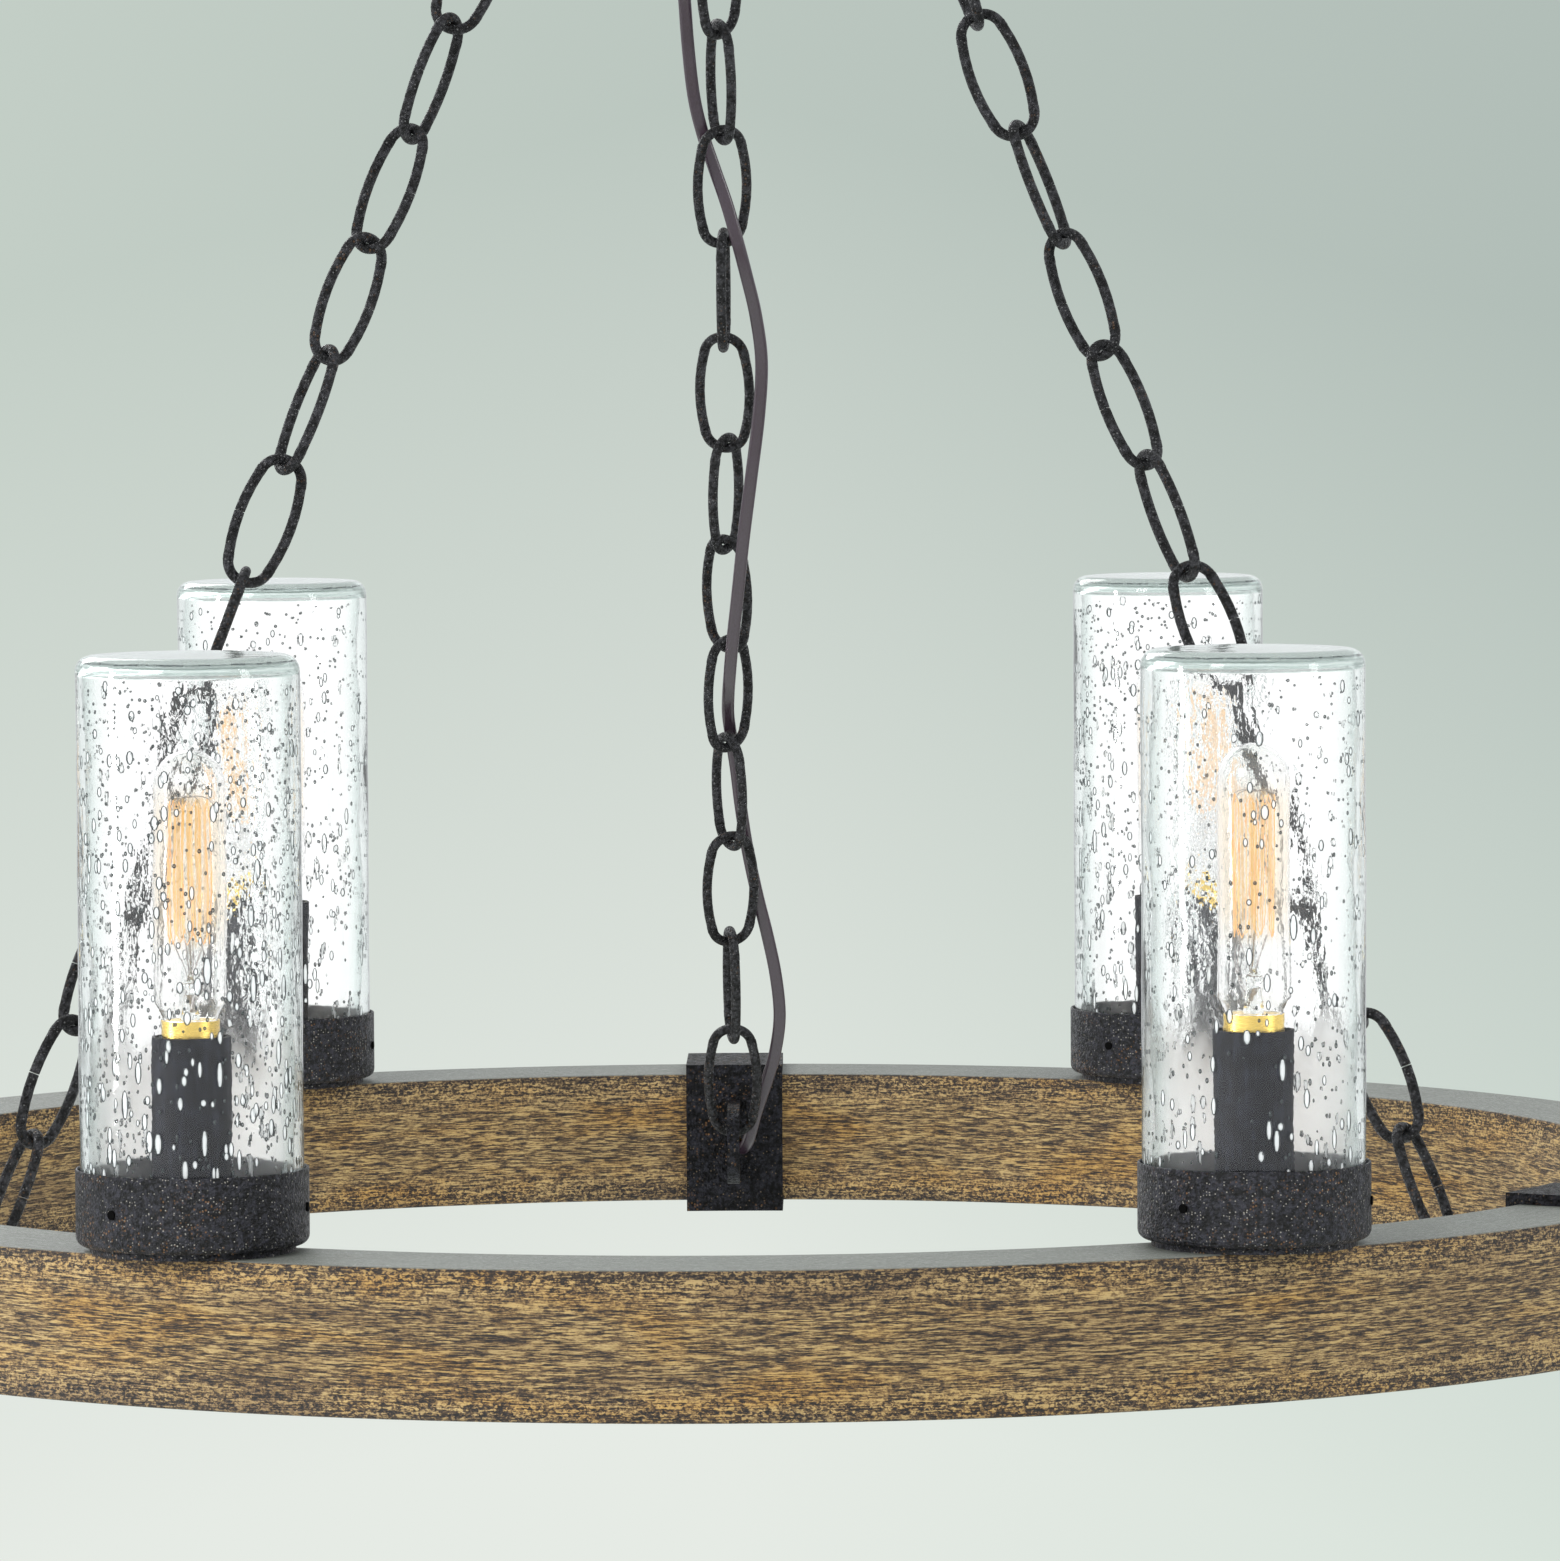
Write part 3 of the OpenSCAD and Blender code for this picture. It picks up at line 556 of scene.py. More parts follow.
def rim_finish():
    """The shade's closed top and shoulder: thick grey-green glass, with painted light and dark bands round it
    for the reflections and shade in the rounded glass, and broken painted dark lines.
    """
    f = Finish("shade_rim_wall")
    swirl = f.noise((70, 70, 260), 3.0, 0.6, 0.8)
    broken = f.noise((170, 170, 30), 2.0, 0.6)
    level = f.plus(f.steps(f.parts(f.place)[2], SHADE_HIGH.z - 0.0074, SHADE_HIGH.z - 0.0003),
                   f.times(f.minus(swirl, 0.5), 0.22))
    # Painted reflections and painted shade in bands round the shoulder, over the glass's own grey-green
    painted_rim_bands = f.ramp(level, (0.0, (0.26, 0.32, 0.31)), (0.07, (0.74, 0.82, 0.80)), (0.22, (0.50, 0.60, 0.57)),
                   (0.32, (0.74, 0.82, 0.80)), (0.46, (0.34, 0.42, 0.40)), (0.58, (0.72, 0.81, 0.79)),
                   (0.70, (0.24, 0.28, 0.28)), (0.78, (0.80, 0.87, 0.85)), (1.0, (0.76, 0.84, 0.81)))
    line = f.ramp(level, (0.64, 0.0), (0.70, 1.0), (0.76, 0.0))
    painted_dashes = f.times(line, f.steps(broken, 0.46, 0.50))
    colour = f.mix(painted_dashes, painted_rim_bands, (0.02, 0.024, 0.026))
    return f.set(Base_Color=colour, Roughness=0.04, IOR=1.36, Normal=f.bump(swirl, 0.25, 0.0008),
                 Transmission_Weight=f.steps(painted_dashes, 0.0, 1.0, 0.72, 0.1))


def seed_finish(name, glass, glint):
    """A bubble: painted shade darkens it towards its rim, and a small one is dark all over. A large one has a
    clear middle that holds a faint painted white glint.
    """
    f = Finish(name)
    facing = f.facing()
    # Painted shade at the rim and, in large bubbles, a painted highlight in the middle
    if glint:
        colour = f.ramp(facing, (0.0, (0.92, 0.94, 0.94)), (0.16, (0.80, 0.84, 0.84)), (0.26, glass.seed_rim_shade))
        veil = f.ramp(facing, (0.0, 0.50), (0.15, 0.36), (0.26, 0.88), (0.60, 1.0))
    else:
        colour = f.ramp(facing, (0.0, (0.10, 0.12, 0.12)), (0.25, glass.seed_rim_shade))
        veil = f.ramp(facing, (0.0, 0.35), (0.20, 0.85))
    return f.set(Base_Color=colour, Roughness=0.3, Specular_IOR_Level=0.2, Alpha=veil)


def bulb_glass_finish(lamp):
    """The lamp's clear tube, with an amber painted reflection of the glowing wires in upright streaks beside
    them.
    """
    f = Finish("bulb_clear_glass")
    streak = f.noise((260, 260, 9), 3.0, 0.6)
    amount = f.times(f.band(0.128, 0.146, 0.192, 0.206), f.steps(streak, 0.36, 0.62, 0.55, 1.0))
    # Painted reflection of the wires' glow, in amber streaks
    colour = f.mix(amount, (0.985, 0.985, 0.98), lamp.glow_reflection)
    return f.set(Base_Color=colour, Roughness=0.0, IOR=1.5, Transmission_Weight=1.0)


def glowing_finish(lamp):
    """Carbon wire, lit: amber light, a little brighter in places along it."""
    f = Finish("filament_glow")
    flicker = f.noise((900, 900, 90), 2.0, 0.5)
    colour = f.mix(f.steps(flicker, 0.35, 0.65), lamp.filament_deep, lamp.filament)
    return f.set(Base_Color=(0.3, 0.12, 0.03), Roughness=0.6, Emission_Color=colour,
                 Emission_Strength=lamp.filament_strength)


def halo_finish(lamp):
    """The painted glow round the lit wires: an emitting veil, thickest where its tube is seen face on."""
    f = Finish("filament_halo")
    ends = f.band(0.130, 0.146, 0.192, 0.201)
    streak = f.noise((500, 500, 14), 3.0, 0.6)
    thread = f.noise((1000, 1000, 10), 2.0, 0.5)
    gold = f.times(f.steps(f.facing(), 0.40, 0.04), f.steps(thread, 0.50, 0.56))
    veil = f.times(ends, f.plus(f.steps(streak, 0.38, 0.62, 0.05, 0.24), f.times(gold, 0.60)))
    colour = f.mix(gold, lamp.glow, lamp.glow_core)
    return f.set(Base_Color=(0.0, 0.0, 0.0), Roughness=1.0, Specular_IOR_Level=0.0, Emission_Color=colour,
                 Emission_Strength=1.0, Alpha=veil)


def cord_finish(cord):
    """Glossy brown plastic over twin wires, with a bluish painted sheen in faint ripples along it."""
    f = Finish("cord_brown_plastic", "UV")
    ripple = f.noise((6, 90, 1), 3.0, 0.6)
    # Painted sheen: lighter bluish ripples over the brown
    colour = f.mix(f.steps(ripple, 0.35, 0.68), cord.colour, cord.painted_sheen)
    return f.set(Base_Color=colour, Roughness=0.32, Specular_IOR_Level=0.6, Coat_Weight=0.5,
                 Coat_Roughness=0.18, Normal=f.bump(ripple, 0.2, 0.0004))


# Settings


def swatch(name, description, default):
    """A colour that a user may change."""
    return FloatVectorProperty(name=name, description=description, subtype="COLOR", size=3, min=0.0, max=1.0,
                               default=default)


def metres(name, description, default):
    """A length that a user may change."""
    return FloatProperty(name=name, description=description, default=default, unit="LENGTH")


class StageSettings(bpy.types.PropertyGroup):
    """Camera, backdrop and light."""

    camera_distance: metres("Camera distance", "From the ring's axis to the camera", 4.6269)
    camera_height: metres("Camera height", "Height above the ring's top", 0.4602)
    camera_pitch: FloatProperty(name="Pitch", description="How far the camera looks down", subtype="ANGLE",
                                default=math.radians(3.4703))
    camera_roll: FloatProperty(name="Roll", description="How far the camera leans", subtype="ANGLE",
                               default=math.radians(-0.3518))
    camera_lens: FloatProperty(name="Lens", description="Focal length in millimetres", default=224.64,
                               min=20.0)
    backdrop_low: swatch("Lower backdrop", "Backdrop below the ring", linear(230, 235, 229))
    backdrop_corner: swatch("Lower right backdrop", "Backdrop at the lower right", linear(217, 227, 219))
    backdrop_left: swatch("Upper left backdrop", "Backdrop at the upper left", linear(196, 207, 199))
    backdrop_right: swatch("Upper right backdrop", "Backdrop at the upper right", linear(178, 190, 184))
    floor_colour: swatch("Floor", "Pale floor under the chandelier", linear(229, 234, 228))
    floor_depth: metres("Floor", "Height of the floor in the frame", -2.3)


class WoodSettings(bpy.types.PropertyGroup):
    """The ring's stain."""

    body: swatch("Body", "Middle tone of the wood", linear(120, 94, 58))
    pore: swatch("Pore", "Black in the deepest grain", linear(34, 26, 22))
    dark_stain: swatch("Dark stain", "Stain beside the pores", linear(72, 55, 38))
    light_grain: swatch("Light grain", "Raised grain", linear(188, 160, 106))
    golden_glaze: swatch("Golden glaze", "Warm patches", (1.0, 0.83, 0.50))
    # The top face's grey is a painted reflection of the pale room
    top_reflection: swatch("Top face", "Grey reflecting top", linear(128, 131, 124))


class IronSettings(bpy.types.PropertyGroup):
    """Straps, chains, cups and sleeves."""

    strap: swatch("Strap", "Blackened straps and loops", linear(15, 15, 19))
    chain: swatch("Chain", "Hammered links", linear(24, 24, 26))
    cup: swatch("Cup", "Cast cups", linear(21, 21, 26))
    speck: swatch("Speck", "Pale specks in the coat", linear(150, 146, 138))
    rust: swatch("Rust", "Brown rust", linear(128, 92, 58))
    charcoal: swatch("Charcoal", "Paint of the candle sleeves", linear(28, 30, 38))


class GlassSettings(bpy.types.PropertyGroup):
    """The seeded shades."""

    edge: swatch("Edge", "Glass seen along its wall", (0.74, 0.83, 0.81))
    seed_rim_shade: swatch("Seed rim", "Dark rim of a bubble", (0.016, 0.020, 0.022))
    seeds: IntProperty(name="Seeds", description="Bubbles in the most seeded shade", default=2000, min=0,
                       max=2600)
    wave: metres("Wave", "Unevenness of the walls", 0.00022)


class LampSettings(bpy.types.PropertyGroup):
    """The tubular lamps."""

    filament: swatch("Filament", "Brightest glow", (1.0, 0.64, 0.24))
    filament_deep: swatch("Deep glow", "Dimmer stretches", (0.60, 0.28, 0.07))
    # Colours of the painted glow on the veil round the wires
    glow: swatch("Glow", "Light in the glare beside the wires", (1.0, 0.92, 0.78))
    glow_core: swatch("Glow core", "Light in the glare between the wires", (0.92, 0.54, 0.12))
    glow_reflection: swatch("Glow tint", "Amber seen in the tube", (1.0, 0.94, 0.86))
    filament_strength: FloatProperty(name="Strength", description="Brightness of the wires", default=1.0)
    strands: IntProperty(name="Strands", description="Upright runs of the wire", default=14, min=4, max=20)
    wire: metres("Wire", "Thickness of the glowing wire", 0.00055)


class CordSettings(bpy.types.PropertyGroup):
    """The twin cord."""

    colour: swatch("Cord", "Brown plastic", linear(38, 24, 28))
    painted_sheen: swatch("Lustre", "Lighter ripples", linear(58, 44, 60))


# Operators


class StageOperator(bpy.types.Operator):
    """Makes the camera, the lights, the pale backdrop and the floor"""

    bl_idname = "chandelier.stage"
    bl_label = "Stage"

    def execute(self, context):
        stage = context.scene.chandelier_stage
        self.camera(context, stage)
        self.lamps(context)
        self.backdrop(context, stage)
        self.floor(stage)
        context.scene.view_settings.view_transform = "Standard"
        cycles = context.scene.cycles
        cycles.max_bounces = cycles.transmission_bounces = cycles.transparent_max_bounces = 40
        return {"FINISHED"}

    def camera(self, context, stage):
        """The camera in front of the ring, which looks down and leans a little."""
        data = bpy.data.cameras.new("viewer")
        data.sensor_fit, data.sensor_width = "HORIZONTAL", 36.0
        data.lens, data.shift_x, data.clip_end = stage.camera_lens, CAMERA_SHIFT, CAMERA_REACH
        viewer = bpy.data.objects.new("viewer", data)
        context.scene.collection.objects.link(viewer)
        pitch, roll = stage.camera_pitch, stage.camera_roll
        forward = Vector((0, math.cos(pitch), -math.sin(pitch)))
        level, rise = Vector((1, 0, 0)), Vector((0, math.sin(pitch), math.cos(pitch)))
        right = math.cos(roll) * level + math.sin(roll) * rise
        up = math.cos(roll) * rise - math.sin(roll) * level
        turn = Matrix((right, up, -forward)).transposed().to_4x4()
        place = Matrix.Translation((0, -stage.camera_distance, RING_TOP + stage.camera_height))
        viewer.matrix_world = place @ turn
        context.scene.camera = viewer

    def lamps(self, context):
        """Softboxes, each with its place, aim, size and watts."""
        for name, at, aim, size, power in (
            ("key_softbox", (-2.4, -3.2, 0.9), (0, 0, -0.85), (1.2, 1.8), 86),
            ("right_strip", (2.8, -1.8, 0.2), (0.2, 0, -0.8), (0.6, 2.0), 34),
            ("left_strip", (-3.0, -0.9, -0.5), (-0.2, -0.3, -0.9), (0.35, 1.2), 40),
            ("back_rim", (-1.4, 3.2, 1.0), (0, 0, -0.8), (1.6, 1.6), 34),
        ):
            data = bpy.data.lights.new(name, "AREA")
            data.shape, data.size, data.size_y, data.energy = "RECTANGLE", *size, power
            lamp = bpy.data.objects.new(name, data)
            lamp.location = at
            lamp.rotation_mode = "QUATERNION"
            lamp.rotation_quaternion = (Vector(aim) - Vector(at)).to_track_quat("-Z", "Y")
            context.scene.collection.objects.link(lamp)

    def backdrop(self, context, stage):
        """The world: a shaded wall to the camera's eye, and an even pale room to all other light."""
        world = bpy.data.worlds.new("pale_backdrop")
        context.scene.world = world
        world.use_nodes = True
        f = Nodes(world.node_tree)
        x, _, z = f.parts(f.add("TexCoord").outputs["Generated"])
        low = f.mix(f.steps(x, 0.0, VIEW_SIDE), stage.backdrop_low, stage.backdrop_corner)
        top = f.mix(f.steps(x, -VIEW_SIDE, VIEW_SIDE), stage.backdrop_left, stage.backdrop_right)
        fall = f.steps(f.plus(z, f.times(f.math("ABSOLUTE", x), 0.28)), -0.120, 0.010)
        seen = f.mix(fall, low, top)
        path = f.add("LightPath").outputs
        through = f.mix(path["Is Transmission Ray"], (0.80, 0.83, 0.84), (1.05, 1.06, 1.06))
        shown = f.mix(path["Is Camera Ray"], through, seen)
        emit = f.add("Background", {"Color": shown, "Strength": 1.0})
        f.add("OutputWorld", {"Surface": emit.outputs[0]})

    def floor(self, stage):
        """A disc that fades out towards its rim, and that nothing sees from below."""
        f = Finish("pale_floor")
        x, y, _ = f.parts(f.place)
        above = f.minus(1.0, f.add("NewGeometry").outputs["Backfacing"])
        shown = f.times(f.steps(f.length(x, y), *FLOOR_FADE), above)
        f.set(Base_Color=stage.floor_colour, Roughness=0.9, Specular_IOR_Level=0.1, Alpha=shown)
        rim, middle = (FLOOR_RADIUS, stage.floor_depth), (0.0, stage.floor_depth)
        line = np.linspace(middle, rim, FLOOR_RINGS + 1)[1:]
        points = np.vstack([spun(line, FLOOR_TURNS), [[0, 0, stage.floor_depth]]])
        faces = [grid_faces(FLOOR_RINGS, FLOOR_TURNS)[:, ::-1],
                 fan_faces(0, FLOOR_TURNS, FLOOR_RINGS * FLOOR_TURNS, False)]
        piece("floor", (points, faces), f.material)


class WoodRingOperator(bpy.types.Operator):
    """Stains the three segments of the ring"""

    bl_idname = "chandelier.wood_ring"
    bl_label = "Wood ring"

    def execute(self, context):
        for c in CHAINS:
            middle = FIRST_BRACKET + (c - 1) * BRACKET_STEP + BRACKET_STEP / 2
            dress(f"ring_segment_{c}", wood_finish(f"ring_wood_{c}", middle, context.scene.chandelier_wood))
        return {"FINISHED"}


class IronworkOperator(bpy.types.Operator):
    """Blackens the straps, chains, hub, loops, canopy and cups"""

    bl_idname = "chandelier.ironwork"
    bl_label = "Ironwork"

    def execute(self, context):
        iron = context.scene.chandelier_iron
        # After the coat and its specks: the rust's strength, the marks' density, roughness and gloss
        strap = iron_finish("strap_black_iron", iron, iron.strap, linear(88, 76, 62), 0.7, 0.8, 0.5, 0.16)
        chain = iron_finish("chain_hammered_iron", iron, iron.chain, linear(96, 96, 96), 0.3, 0.8, 0.42, 0.26)
        cup = iron_finish("cup_cast_iron", iron, iron.cup, iron.speck, 0.9, 1.0, 0.42, 0.30)
        zinc = metal_finish("zinc_plate", (0.62, 0.63, 0.64), 0.32)
        black = Finish("screw_black_oxide")
        black.set(Base_Color=(0.002, 0.002, 0.002), Roughness=0.9, Specular_IOR_Level=0.05)
        brackets, chains = ([f"{word}_{c}" for c in CHAINS] for word in ("ring_bracket", "chain"))
        for finish, nodes in (
            (strap, (*brackets, "hub", "hub_loop", "hub_nut", "canopy_loop", "canopy")),
            (chain, (*chains, "top_link")),
            (cup, [f"cup_{k}" for k in LIGHTS]),
            (zinc, ("mounting_bar", "socket_stems", "stem_nuts")),
            (black.material, ("shade_screws",)),
        ):
            for node in nodes:
                dress(node, finish)
        return {"FINISHED"}


class ShadesOperator(bpy.types.Operator):
    """Blows the six glass shades, with waves in their walls and seeds between them"""

    bl_idname = "chandelier.shades"
    bl_label = "Seeded shades"

    def execute(self, context):
        glass = context.scene.chandelier_glass
        outer = shade_finish("shade_outer_wall", glass, False)
        inner = shade_finish("shade_inner_wall", glass, True)
        rim = rim_finish()
        seed = seed_finish("glass_seed_large", glass, True)
        dot = seed_finish("glass_seed_small", glass, False)
        for k, share in zip(LIGHTS, SEED_SHARES):
            body, at = f"shade_{k}", light_centre(k)
            shade = piece(f"shade_glass_{k}", self.shell(glass, k), outer, body, at)
            self.paint(shade, (inner, rim), self.walls(shade, at))
            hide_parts(f"glass_shade_{k}")
            surface, small = self.seeds(k, int(glass.seeds * share))
            seeds = piece(f"shade_seeds_{k}", surface, seed, body, at)
            self.paint(seeds, (dot,), small)
            let_light_by(shade)
            let_light_by(seeds)
        return {"FINISHED"}

    def paint(self, made, materials, numbers):
        """Adds materials to a piece, and gives each face its number among them."""
        for material in materials:
            made.data.materials.append(material)
        made.data.polygons.foreach_set("material_index", numbers.astype(np.int32))

    def walls(self, shade, at):
        """Each face's wall, by the distance of its middle from the shade's axis and by its height: 0 for the
        outside, 1 for the inside, 2 for the closed top."""
        middles = np.zeros(len(shade.data.polygons) * 3)
        shade.data.polygons.foreach_get("center", middles)
        middles = middles.reshape(-1, 3)
        spread = np.linalg.norm(middles[:, :2] - at[:2], axis=1)
        inside = (spread < SHADE_RADIUS - 0.7 * SHADE_WALL) & (middles[:, 2] < SHADE_HIGH.z - 0.6 * SHADE_TOP)
        return inside + 2 * (~inside & (middles[:, 2] > SHADE_HIGH.z - CROWN))

    def profile(self):
        """The shade's outline, in two lines of (radius, height above the ring): from the middle of its top
        over the shoulder and down the outside, and up the inside back to the axis."""
        low, high = SHADE_LOW.z - RING_TOP, SHADE_HIGH.z - RING_TOP
        outer = SHADE_RADIUS - WAVE_ROOM
        inner, ceiling = outer - SHADE_WALL, high - SHADE_TOP
        outside = (
            np.linspace((0.0, high), (outer - SHOULDER, high), 10)[:-1],
            round_corner(outer - SHOULDER, high - SHOULDER, SHOULDER, 90, 0, 9),
            np.linspace((outer, high - SHOULDER), (outer, low), 57)[1:],
        )
        inside = (
            np.linspace((inner, low), (inner, ceiling - INNER_SHOULDER), 57)[:-1],
            round_corner(inner - INNER_SHOULDER, ceiling - INNER_SHOULDER, INNER_SHOULDER, 0, 90, 8),
            np.linspace((inner - INNER_SHOULDER, ceiling), (0.0, ceiling), 10)[1:],
        )
        return np.vstack(outside), np.vstack(inside)

    def shell(self, glass, k):
        """The turned outline, with r + wave times a sum of sines in angle and height, other on each wall."""
        outside, inside = self.profile()
        line = np.vstack([outside, inside])

        def wave(angle, height):
            turn = np.where(np.arange(len(height)) < len(outside) - 1, 0.0, 2.1)[:, None] + 1.7 * k
            ripple = (0.5 * np.sin(3 * angle + 31 * height + turn)
                      + 0.3 * np.sin(7 * angle - 67 * height + 2 * turn)
                      + 0.22 * np.sin(13 * angle + 140 * height + 3 * turn)
                      + 0.16 * np.sin(5 * angle + 260 * height))
            return glass.wave * ripple * np.clip(line[1:-1, :1] / 0.03, 0, 1) ** 2

        points, faces = closed_lathe(line, SHADE_TURNS, wave)
        return points, [group[:, ::-1] for group in faces]

    def seeds(self, k, count):
        """Bubbles in shade k's wall, and which of their faces belong to the smallest. Each is a ball drawn
        out upwards, small and round near the top and long lower down: centre + x out + y sideways + z up."""
        chance = np.random.default_rng(40 + k)
        low, high = SHADE_LOW.z - RING_TOP + SEED_FOOT, SHADE_HIGH.z - RING_TOP - SEED_CROWN
        height = low + (high - low) * chance.random(count)
        share = (height - low) / (high - low)
        angle = chance.random(count) * 2 * math.pi
        kind = chance.random(count)
        dot = kind < DOT_SHARE[0] + DOT_SHARE[1] * share
        large = kind > LARGE_FROM
        across = np.where(dot, DOT_WIDTH[0] + DOT_WIDTH[1] * chance.random(count),
                          BUBBLE_WIDTH[0] + BUBBLE_WIDTH[1] * chance.random(count))
        stretch = np.where(dot, 1.0 + 1.4 * chance.random(count) * (1 - share),
                           1.15 + (0.3 + 2.4 * (1 - share)) * chance.random(count))
        across = np.where(large, across * 1.15, across)
        tall = across * np.where(large, stretch * 1.3, stretch)
        depth = np.minimum(across, SEED_DEPTH)
        middle = SHADE_RADIUS - SEED_MIDDLE + (chance.random(count) - 0.5) * 2 * (SEED_SCATTER - depth)
        ball, (quads, foot, head) = closed_lathe(round_corner(0, 0, 1, -90, 90, SEED_RINGS + 1), SEED_SIDES)
        fans = np.vstack([foot, head])
        out = outward(angle)
        axes = (out * depth[:, None], np.cross(UP, out) * across[:, None], UP * tall[:, None])
        points = (out * middle[:, None] + UP * height[:, None])[:, None]
        points = points + sum(ball[:, i, None] * axis[:, None] for i, axis in enumerate(axes))
        offset = (np.arange(count) * len(ball))[:, None, None]
        faces = [(group + offset).reshape(-1, group.shape[1]) for group in (quads, fans)]
        small = np.concatenate([np.repeat(dot, len(group)) for group in (quads, fans)])
        return (points.reshape(-1, 3), faces), small


class LampsOperator(bpy.types.Operator):
    """Makes the tubular lamps, with their wires, stems and brass collars, and paints the candle sleeves"""

    bl_idname = "chandelier.lamps"
    bl_label = "Lamps"

    def execute(self, context):
        lamp, iron = context.scene.chandelier_lamp, context.scene.chandelier_iron
        tube = bulb_glass_finish(lamp)
        glow = glowing_finish(lamp)
        veil = halo_finish(lamp)
        stem = glass_finish("stem_glass", (0.93, 0.95, 0.95))
        wire = metal_finish("support_wire", (0.30, 0.28, 0.27), 0.35)
        brass = metal_finish("collar_brass", (0.86, 0.62, 0.16), 0.2)
        sleeve = sleeve_finish(iron)
        socket = plastic_finish("socket_black", (0.02, 0.02, 0.022), 0.5)
        dress("lamp_sockets", socket)
        for k in LIGHTS:
            body, at, turn = f"bulb_{k}", light_centre(k), FIRST_TURN + (k - 1) * TURN_STEP
            dress(f"candle_sleeve_{k}", sleeve)
            dress(f"bulb_base_{k}", brass)
            bulb = piece(f"lamp_tube_{k}", self.tube(), tube, body, at)
            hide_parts(f"bulb_glass_{k}")
            strands = piece(f"lamp_filament_{k}", self.filament(lamp, turn), glow, body, at)
            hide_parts(f"bulb_filament_{k}")
            halo = piece(f"lamp_halo_{k}", self.halo(), veil, body, at)
            piece(f"lamp_supports_{k}", self.supports(turn), wire, body, at)
            rod = piece(f"lamp_stem_{k}", self.stem(), stem, body, at)
            for made in (bulb, halo, rod):
                let_light_by(made)
        return {"FINISHED"}

    def tube(self):
        """The tube's outline turned about its axis: down the inside of its round end and wall, up outside."""
        low, high, r = BULB_LOW.z - RING_TOP, BULB_HIGH.z - RING_TOP, BULB_RADIUS
        foot = [[0.0124, low], [0.0124, low + 0.0004], [0.0128, low + 0.0022], [0.0142, low + 0.0052],
                [r, low + 0.0076]]
        side = np.vstack([foot, np.linspace((r, low + 0.010), (r, high - r), 8)])
        dome, inner_dome = (round_corner(0, high - r, size, 6, 90, 15) for size in (r, r - TUBE_WALL))
        line = np.vstack([inner_dome[::-1], side[::-1] - (TUBE_WALL, 0.0), side, dome])
        line[[0, -1], 0] = 0.0
        return closed_lathe(line, 48)

    def filament(self, lamp, turn):
        """One wire that goes up and down round a circle: its height is a triangle wave of the angle, and the
        angle moves on where the wire turns back."""
        t = np.linspace(0.0, lamp.strands, lamp.strands * 16 + 1)
        whole = np.floor(t)
        part = t - whole
        rise = np.where(whole % 2 == 0, part, 1 - part)
        onward = (np.clip((part - 1 + WIRES_BEND) / (2 * WIRES_BEND), 0, 0.5)
                  + np.minimum((part - WIRES_BEND) / (2 * WIRES_BEND), 0))
        angle = turn + (whole + onward) * (WIRES_SWEEP / lamp.strands)
        bow = WIRES_REACH * (1.0 + 0.05 * np.sin(rise * math.pi) + 0.03 * np.sin(5.1 * t))
        out = outward(angle)
        path = out * bow[:, None] + UP * (WIRES_LOW + (WIRES_HIGH - WIRES_LOW) * rise)[:, None]
        return swept(path, circle(lamp.wire / 2, 7), out)

    def halo(self):
        """A thin capsule round the wires, inside the tube, which carries their glow."""
        low, high, radius, rounded = WIRES_LOW - 0.0005, WIRES_HIGH, 0.0078, 0.0050
        line = np.vstack([[[0.0, low - rounded]], round_corner(radius, low, rounded, -90, 0, 6),
                          round_corner(radius, high, rounded, 0, 90, 6), [[0.0, high + rounded]]])
        return closed_lathe(line, 32)

    def supports(self, turn):
        """Thin wires: arms from the rod's top, hooks at the strands' foot, and two leads to the collar."""
        arm = ((0.0004, 0.1978), (0.0035, 0.1984), (0.0075, 0.1976), (0.0100, 0.1958), (0.0108, 0.1935))
        hook = ((0.0010, 0.1175), (0.0022, 0.1230), (0.0050, 0.1295), (0.0066, 0.1340), (0.0075, 0.1352))
        first = ((0.0022, 0.1040), (0.0040, 0.1120), (0.0085, 0.1200), (0.0090, 0.1300), (0.0073, 0.1350))
        last = ((0.0022, 0.1040), (0.0050, 0.1090), (0.0104, 0.1150), (0.0108, 0.1290), (0.0074, 0.1350))
        parts = []
        for a in turn + np.arange(SUPPORT_ARMS) * 2 * math.pi / SUPPORT_ARMS:
            parts += [self.wire(arm, a, SUPPORT_RADIUS), self.wire(hook, a + 0.5, SUPPORT_RADIUS)]
        parts += [self.wire(first, turn, LEAD_RADIUS), self.wire(last, turn + WIRES_SWEEP, LEAD_RADIUS)]
        return joined(parts)

    def wire(self, line, angle, radius):
        """A thin wire in the upright plane at an angle, from (distance, height) points."""
        out = outward(angle)
        bent = smooth_path([out * distance + UP * height for distance, height in line], 4)
        return swept(bent, circle(radius, 6), np.cross(UP, out))

    def stem(self):
        """The glass foot that holds the wires: a flared foot, a neck, a button, and a thin rod to the top."""
        line = (
            (0.0, 0.1012), (0.0046, 0.1012), (0.0044, 0.1030), (0.0040, 0.1052), (0.0034, 0.1085),
            (0.0032, 0.1120), (0.0030, 0.1136), (0.0042, 0.1150), (0.0046, 0.1162), (0.0038, 0.1176),
            (0.0016, 0.1188), (0.0009, 0.1210), (0.0009, 0.1960), (0.0014, 0.1974), (0.0012, 0.1988),
            (0.0, 0.1992),
        )
        return closed_lathe(np.array(line), 24)


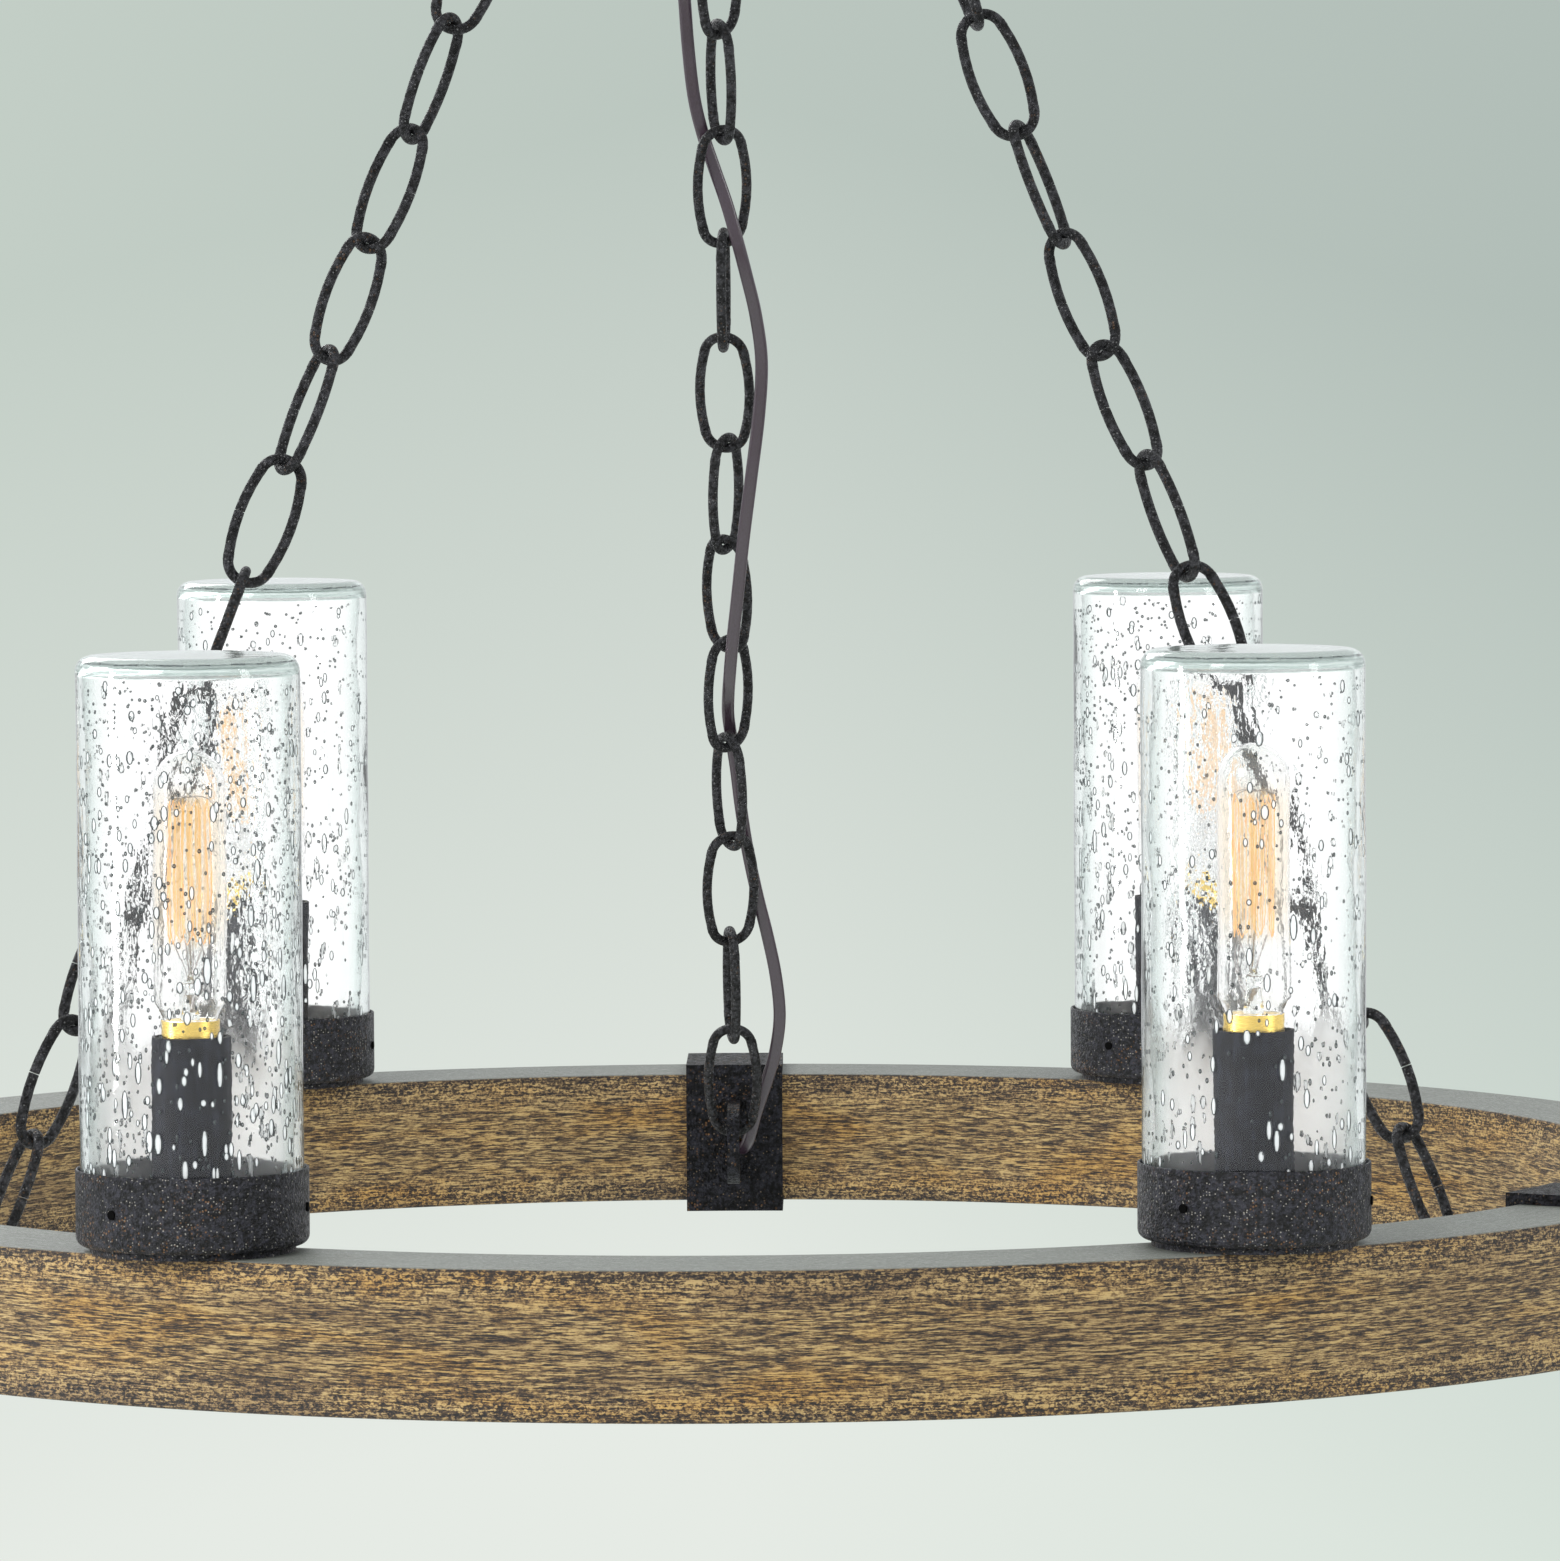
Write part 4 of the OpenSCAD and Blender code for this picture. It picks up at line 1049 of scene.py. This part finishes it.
class CordOperator(bpy.types.Operator):
    """Lays the twin cord along its route and up to the canopy"""

    bl_idname = "chandelier.cord"
    bl_label = "Supply cord"

    def execute(self, context):
        finish = cord_finish(context.scene.chandelier_cord)
        laced = smooth_path(CORD_POINTS, 8)
        supply = self.twin("supply_cord_twin", laced, finish)
        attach(supply, "fixture")
        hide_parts("supply_cord")
        at = CORD_POINTS[-1]
        halfway = (*at[:2], CORD_MIDDLE)
        rise = np.linspace(at, halfway, CORD_ROWS)
        middle = self.twin("cord_rise_twin", rise, finish)
        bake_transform(middle)
        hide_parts("cord_rise")
        entry = np.linspace(halfway, (*at[:2], CORD_TOP), CORD_ROWS)
        top = self.twin("cord_entry_twin", entry, finish)
        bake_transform(top)
        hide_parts("cord_entry")
        dress("cord_bushing", plastic_finish("bushing_black", (0.02, 0.02, 0.022), 0.45))
        return {"FINISHED"}

    def measure(self, path):
        """Length of a path, the sum of its steps."""
        return float(np.linalg.norm(np.diff(path, axis=0), axis=1).sum())

    def twin(self, name, path, finish):
        """Two round wires side by side in one skin: the section's half thickness is that of two circles with
        a shallow waist between them."""
        cos, sin = circle(1, CORD_SIDES).T
        half, thick = CORD_WIDTH / 2, CORD_THICKNESS / 2
        across = half * np.sign(cos) * np.abs(cos) ** 0.75
        waist = 1.0 - 0.22 * np.exp(-((across / (0.28 * half)) ** 2))
        out = thick * np.sign(sin) * np.abs(sin) ** 0.8 * waist
        surface = swept(path, np.stack([across, out], axis=-1), (0.0, -1.0, -0.2))
        made = piece(name, surface, finish, None)
        self.unwrap(made, path)
        return made

    def unwrap(self, made, path):
        """UV: (centimetres along the cord, share of the way round it)."""
        along = np.concatenate([[0.0], np.cumsum(np.linalg.norm(np.diff(path, axis=0), axis=1))])
        u = np.concatenate([np.repeat(along, CORD_SIDES), [along[0], along[-1]]])
        v = np.concatenate([np.tile(np.arange(CORD_SIDES) / CORD_SIDES, len(path)), [0.5, 0.5]])
        layer = made.data.uv_layers.new(name="along")
        corner = np.zeros(len(made.data.loops), np.int32)
        made.data.loops.foreach_get("vertex_index", corner)
        layer.data.foreach_set("uv", np.stack([u[corner] * 100, v[corner]], axis=-1).ravel())


class ChandelierPanel(bpy.types.Panel):
    """Lists the chandelier's operators and settings"""

    bl_label = "Ring Chandelier"
    bl_idname = "VIEW3D_PT_ring_chandelier"
    bl_space_type = "VIEW_3D"
    bl_region_type = "UI"
    bl_category = "Chandelier"

    def draw(self, context):
        for made in OPERATORS:
            self.layout.operator(made.bl_idname)
        for name, group in SETTINGS.items():
            box = self.layout.box()
            box.label(text=name.replace("chandelier_", "").title())
            for key in group.__annotations__:
                box.prop(getattr(context.scene, name), key)


OPERATORS = (StageOperator, CordOperator, WoodRingOperator, IronworkOperator, ShadesOperator, LampsOperator)
SETTINGS = {
    "chandelier_stage": StageSettings,
    "chandelier_wood": WoodSettings,
    "chandelier_iron": IronSettings,
    "chandelier_glass": GlassSettings,
    "chandelier_lamp": LampSettings,
    "chandelier_cord": CordSettings,
}


def register():
    """Registers the settings, the operators and the panel."""
    for made in (*SETTINGS.values(), *OPERATORS, ChandelierPanel):
        bpy.utils.register_class(made)
    for name, group in SETTINGS.items():
        setattr(bpy.types.Scene, name, PointerProperty(type=group))


def unregister():
    """Takes them out again."""
    for name in SETTINGS:
        delattr(bpy.types.Scene, name)
    for made in (ChandelierPanel, *OPERATORS[::-1], *reversed(SETTINGS.values())):
        bpy.utils.unregister_class(made)


def main():
    """Registers the add-on and runs each operator in order."""
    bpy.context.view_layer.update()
    register()
    bpy.ops.chandelier.stage()
    bpy.ops.chandelier.cord()
    bpy.ops.chandelier.wood_ring()
    bpy.ops.chandelier.ironwork()
    bpy.ops.chandelier.shades()
    bpy.ops.chandelier.lamps()


if __name__ == "__main__":
    main()
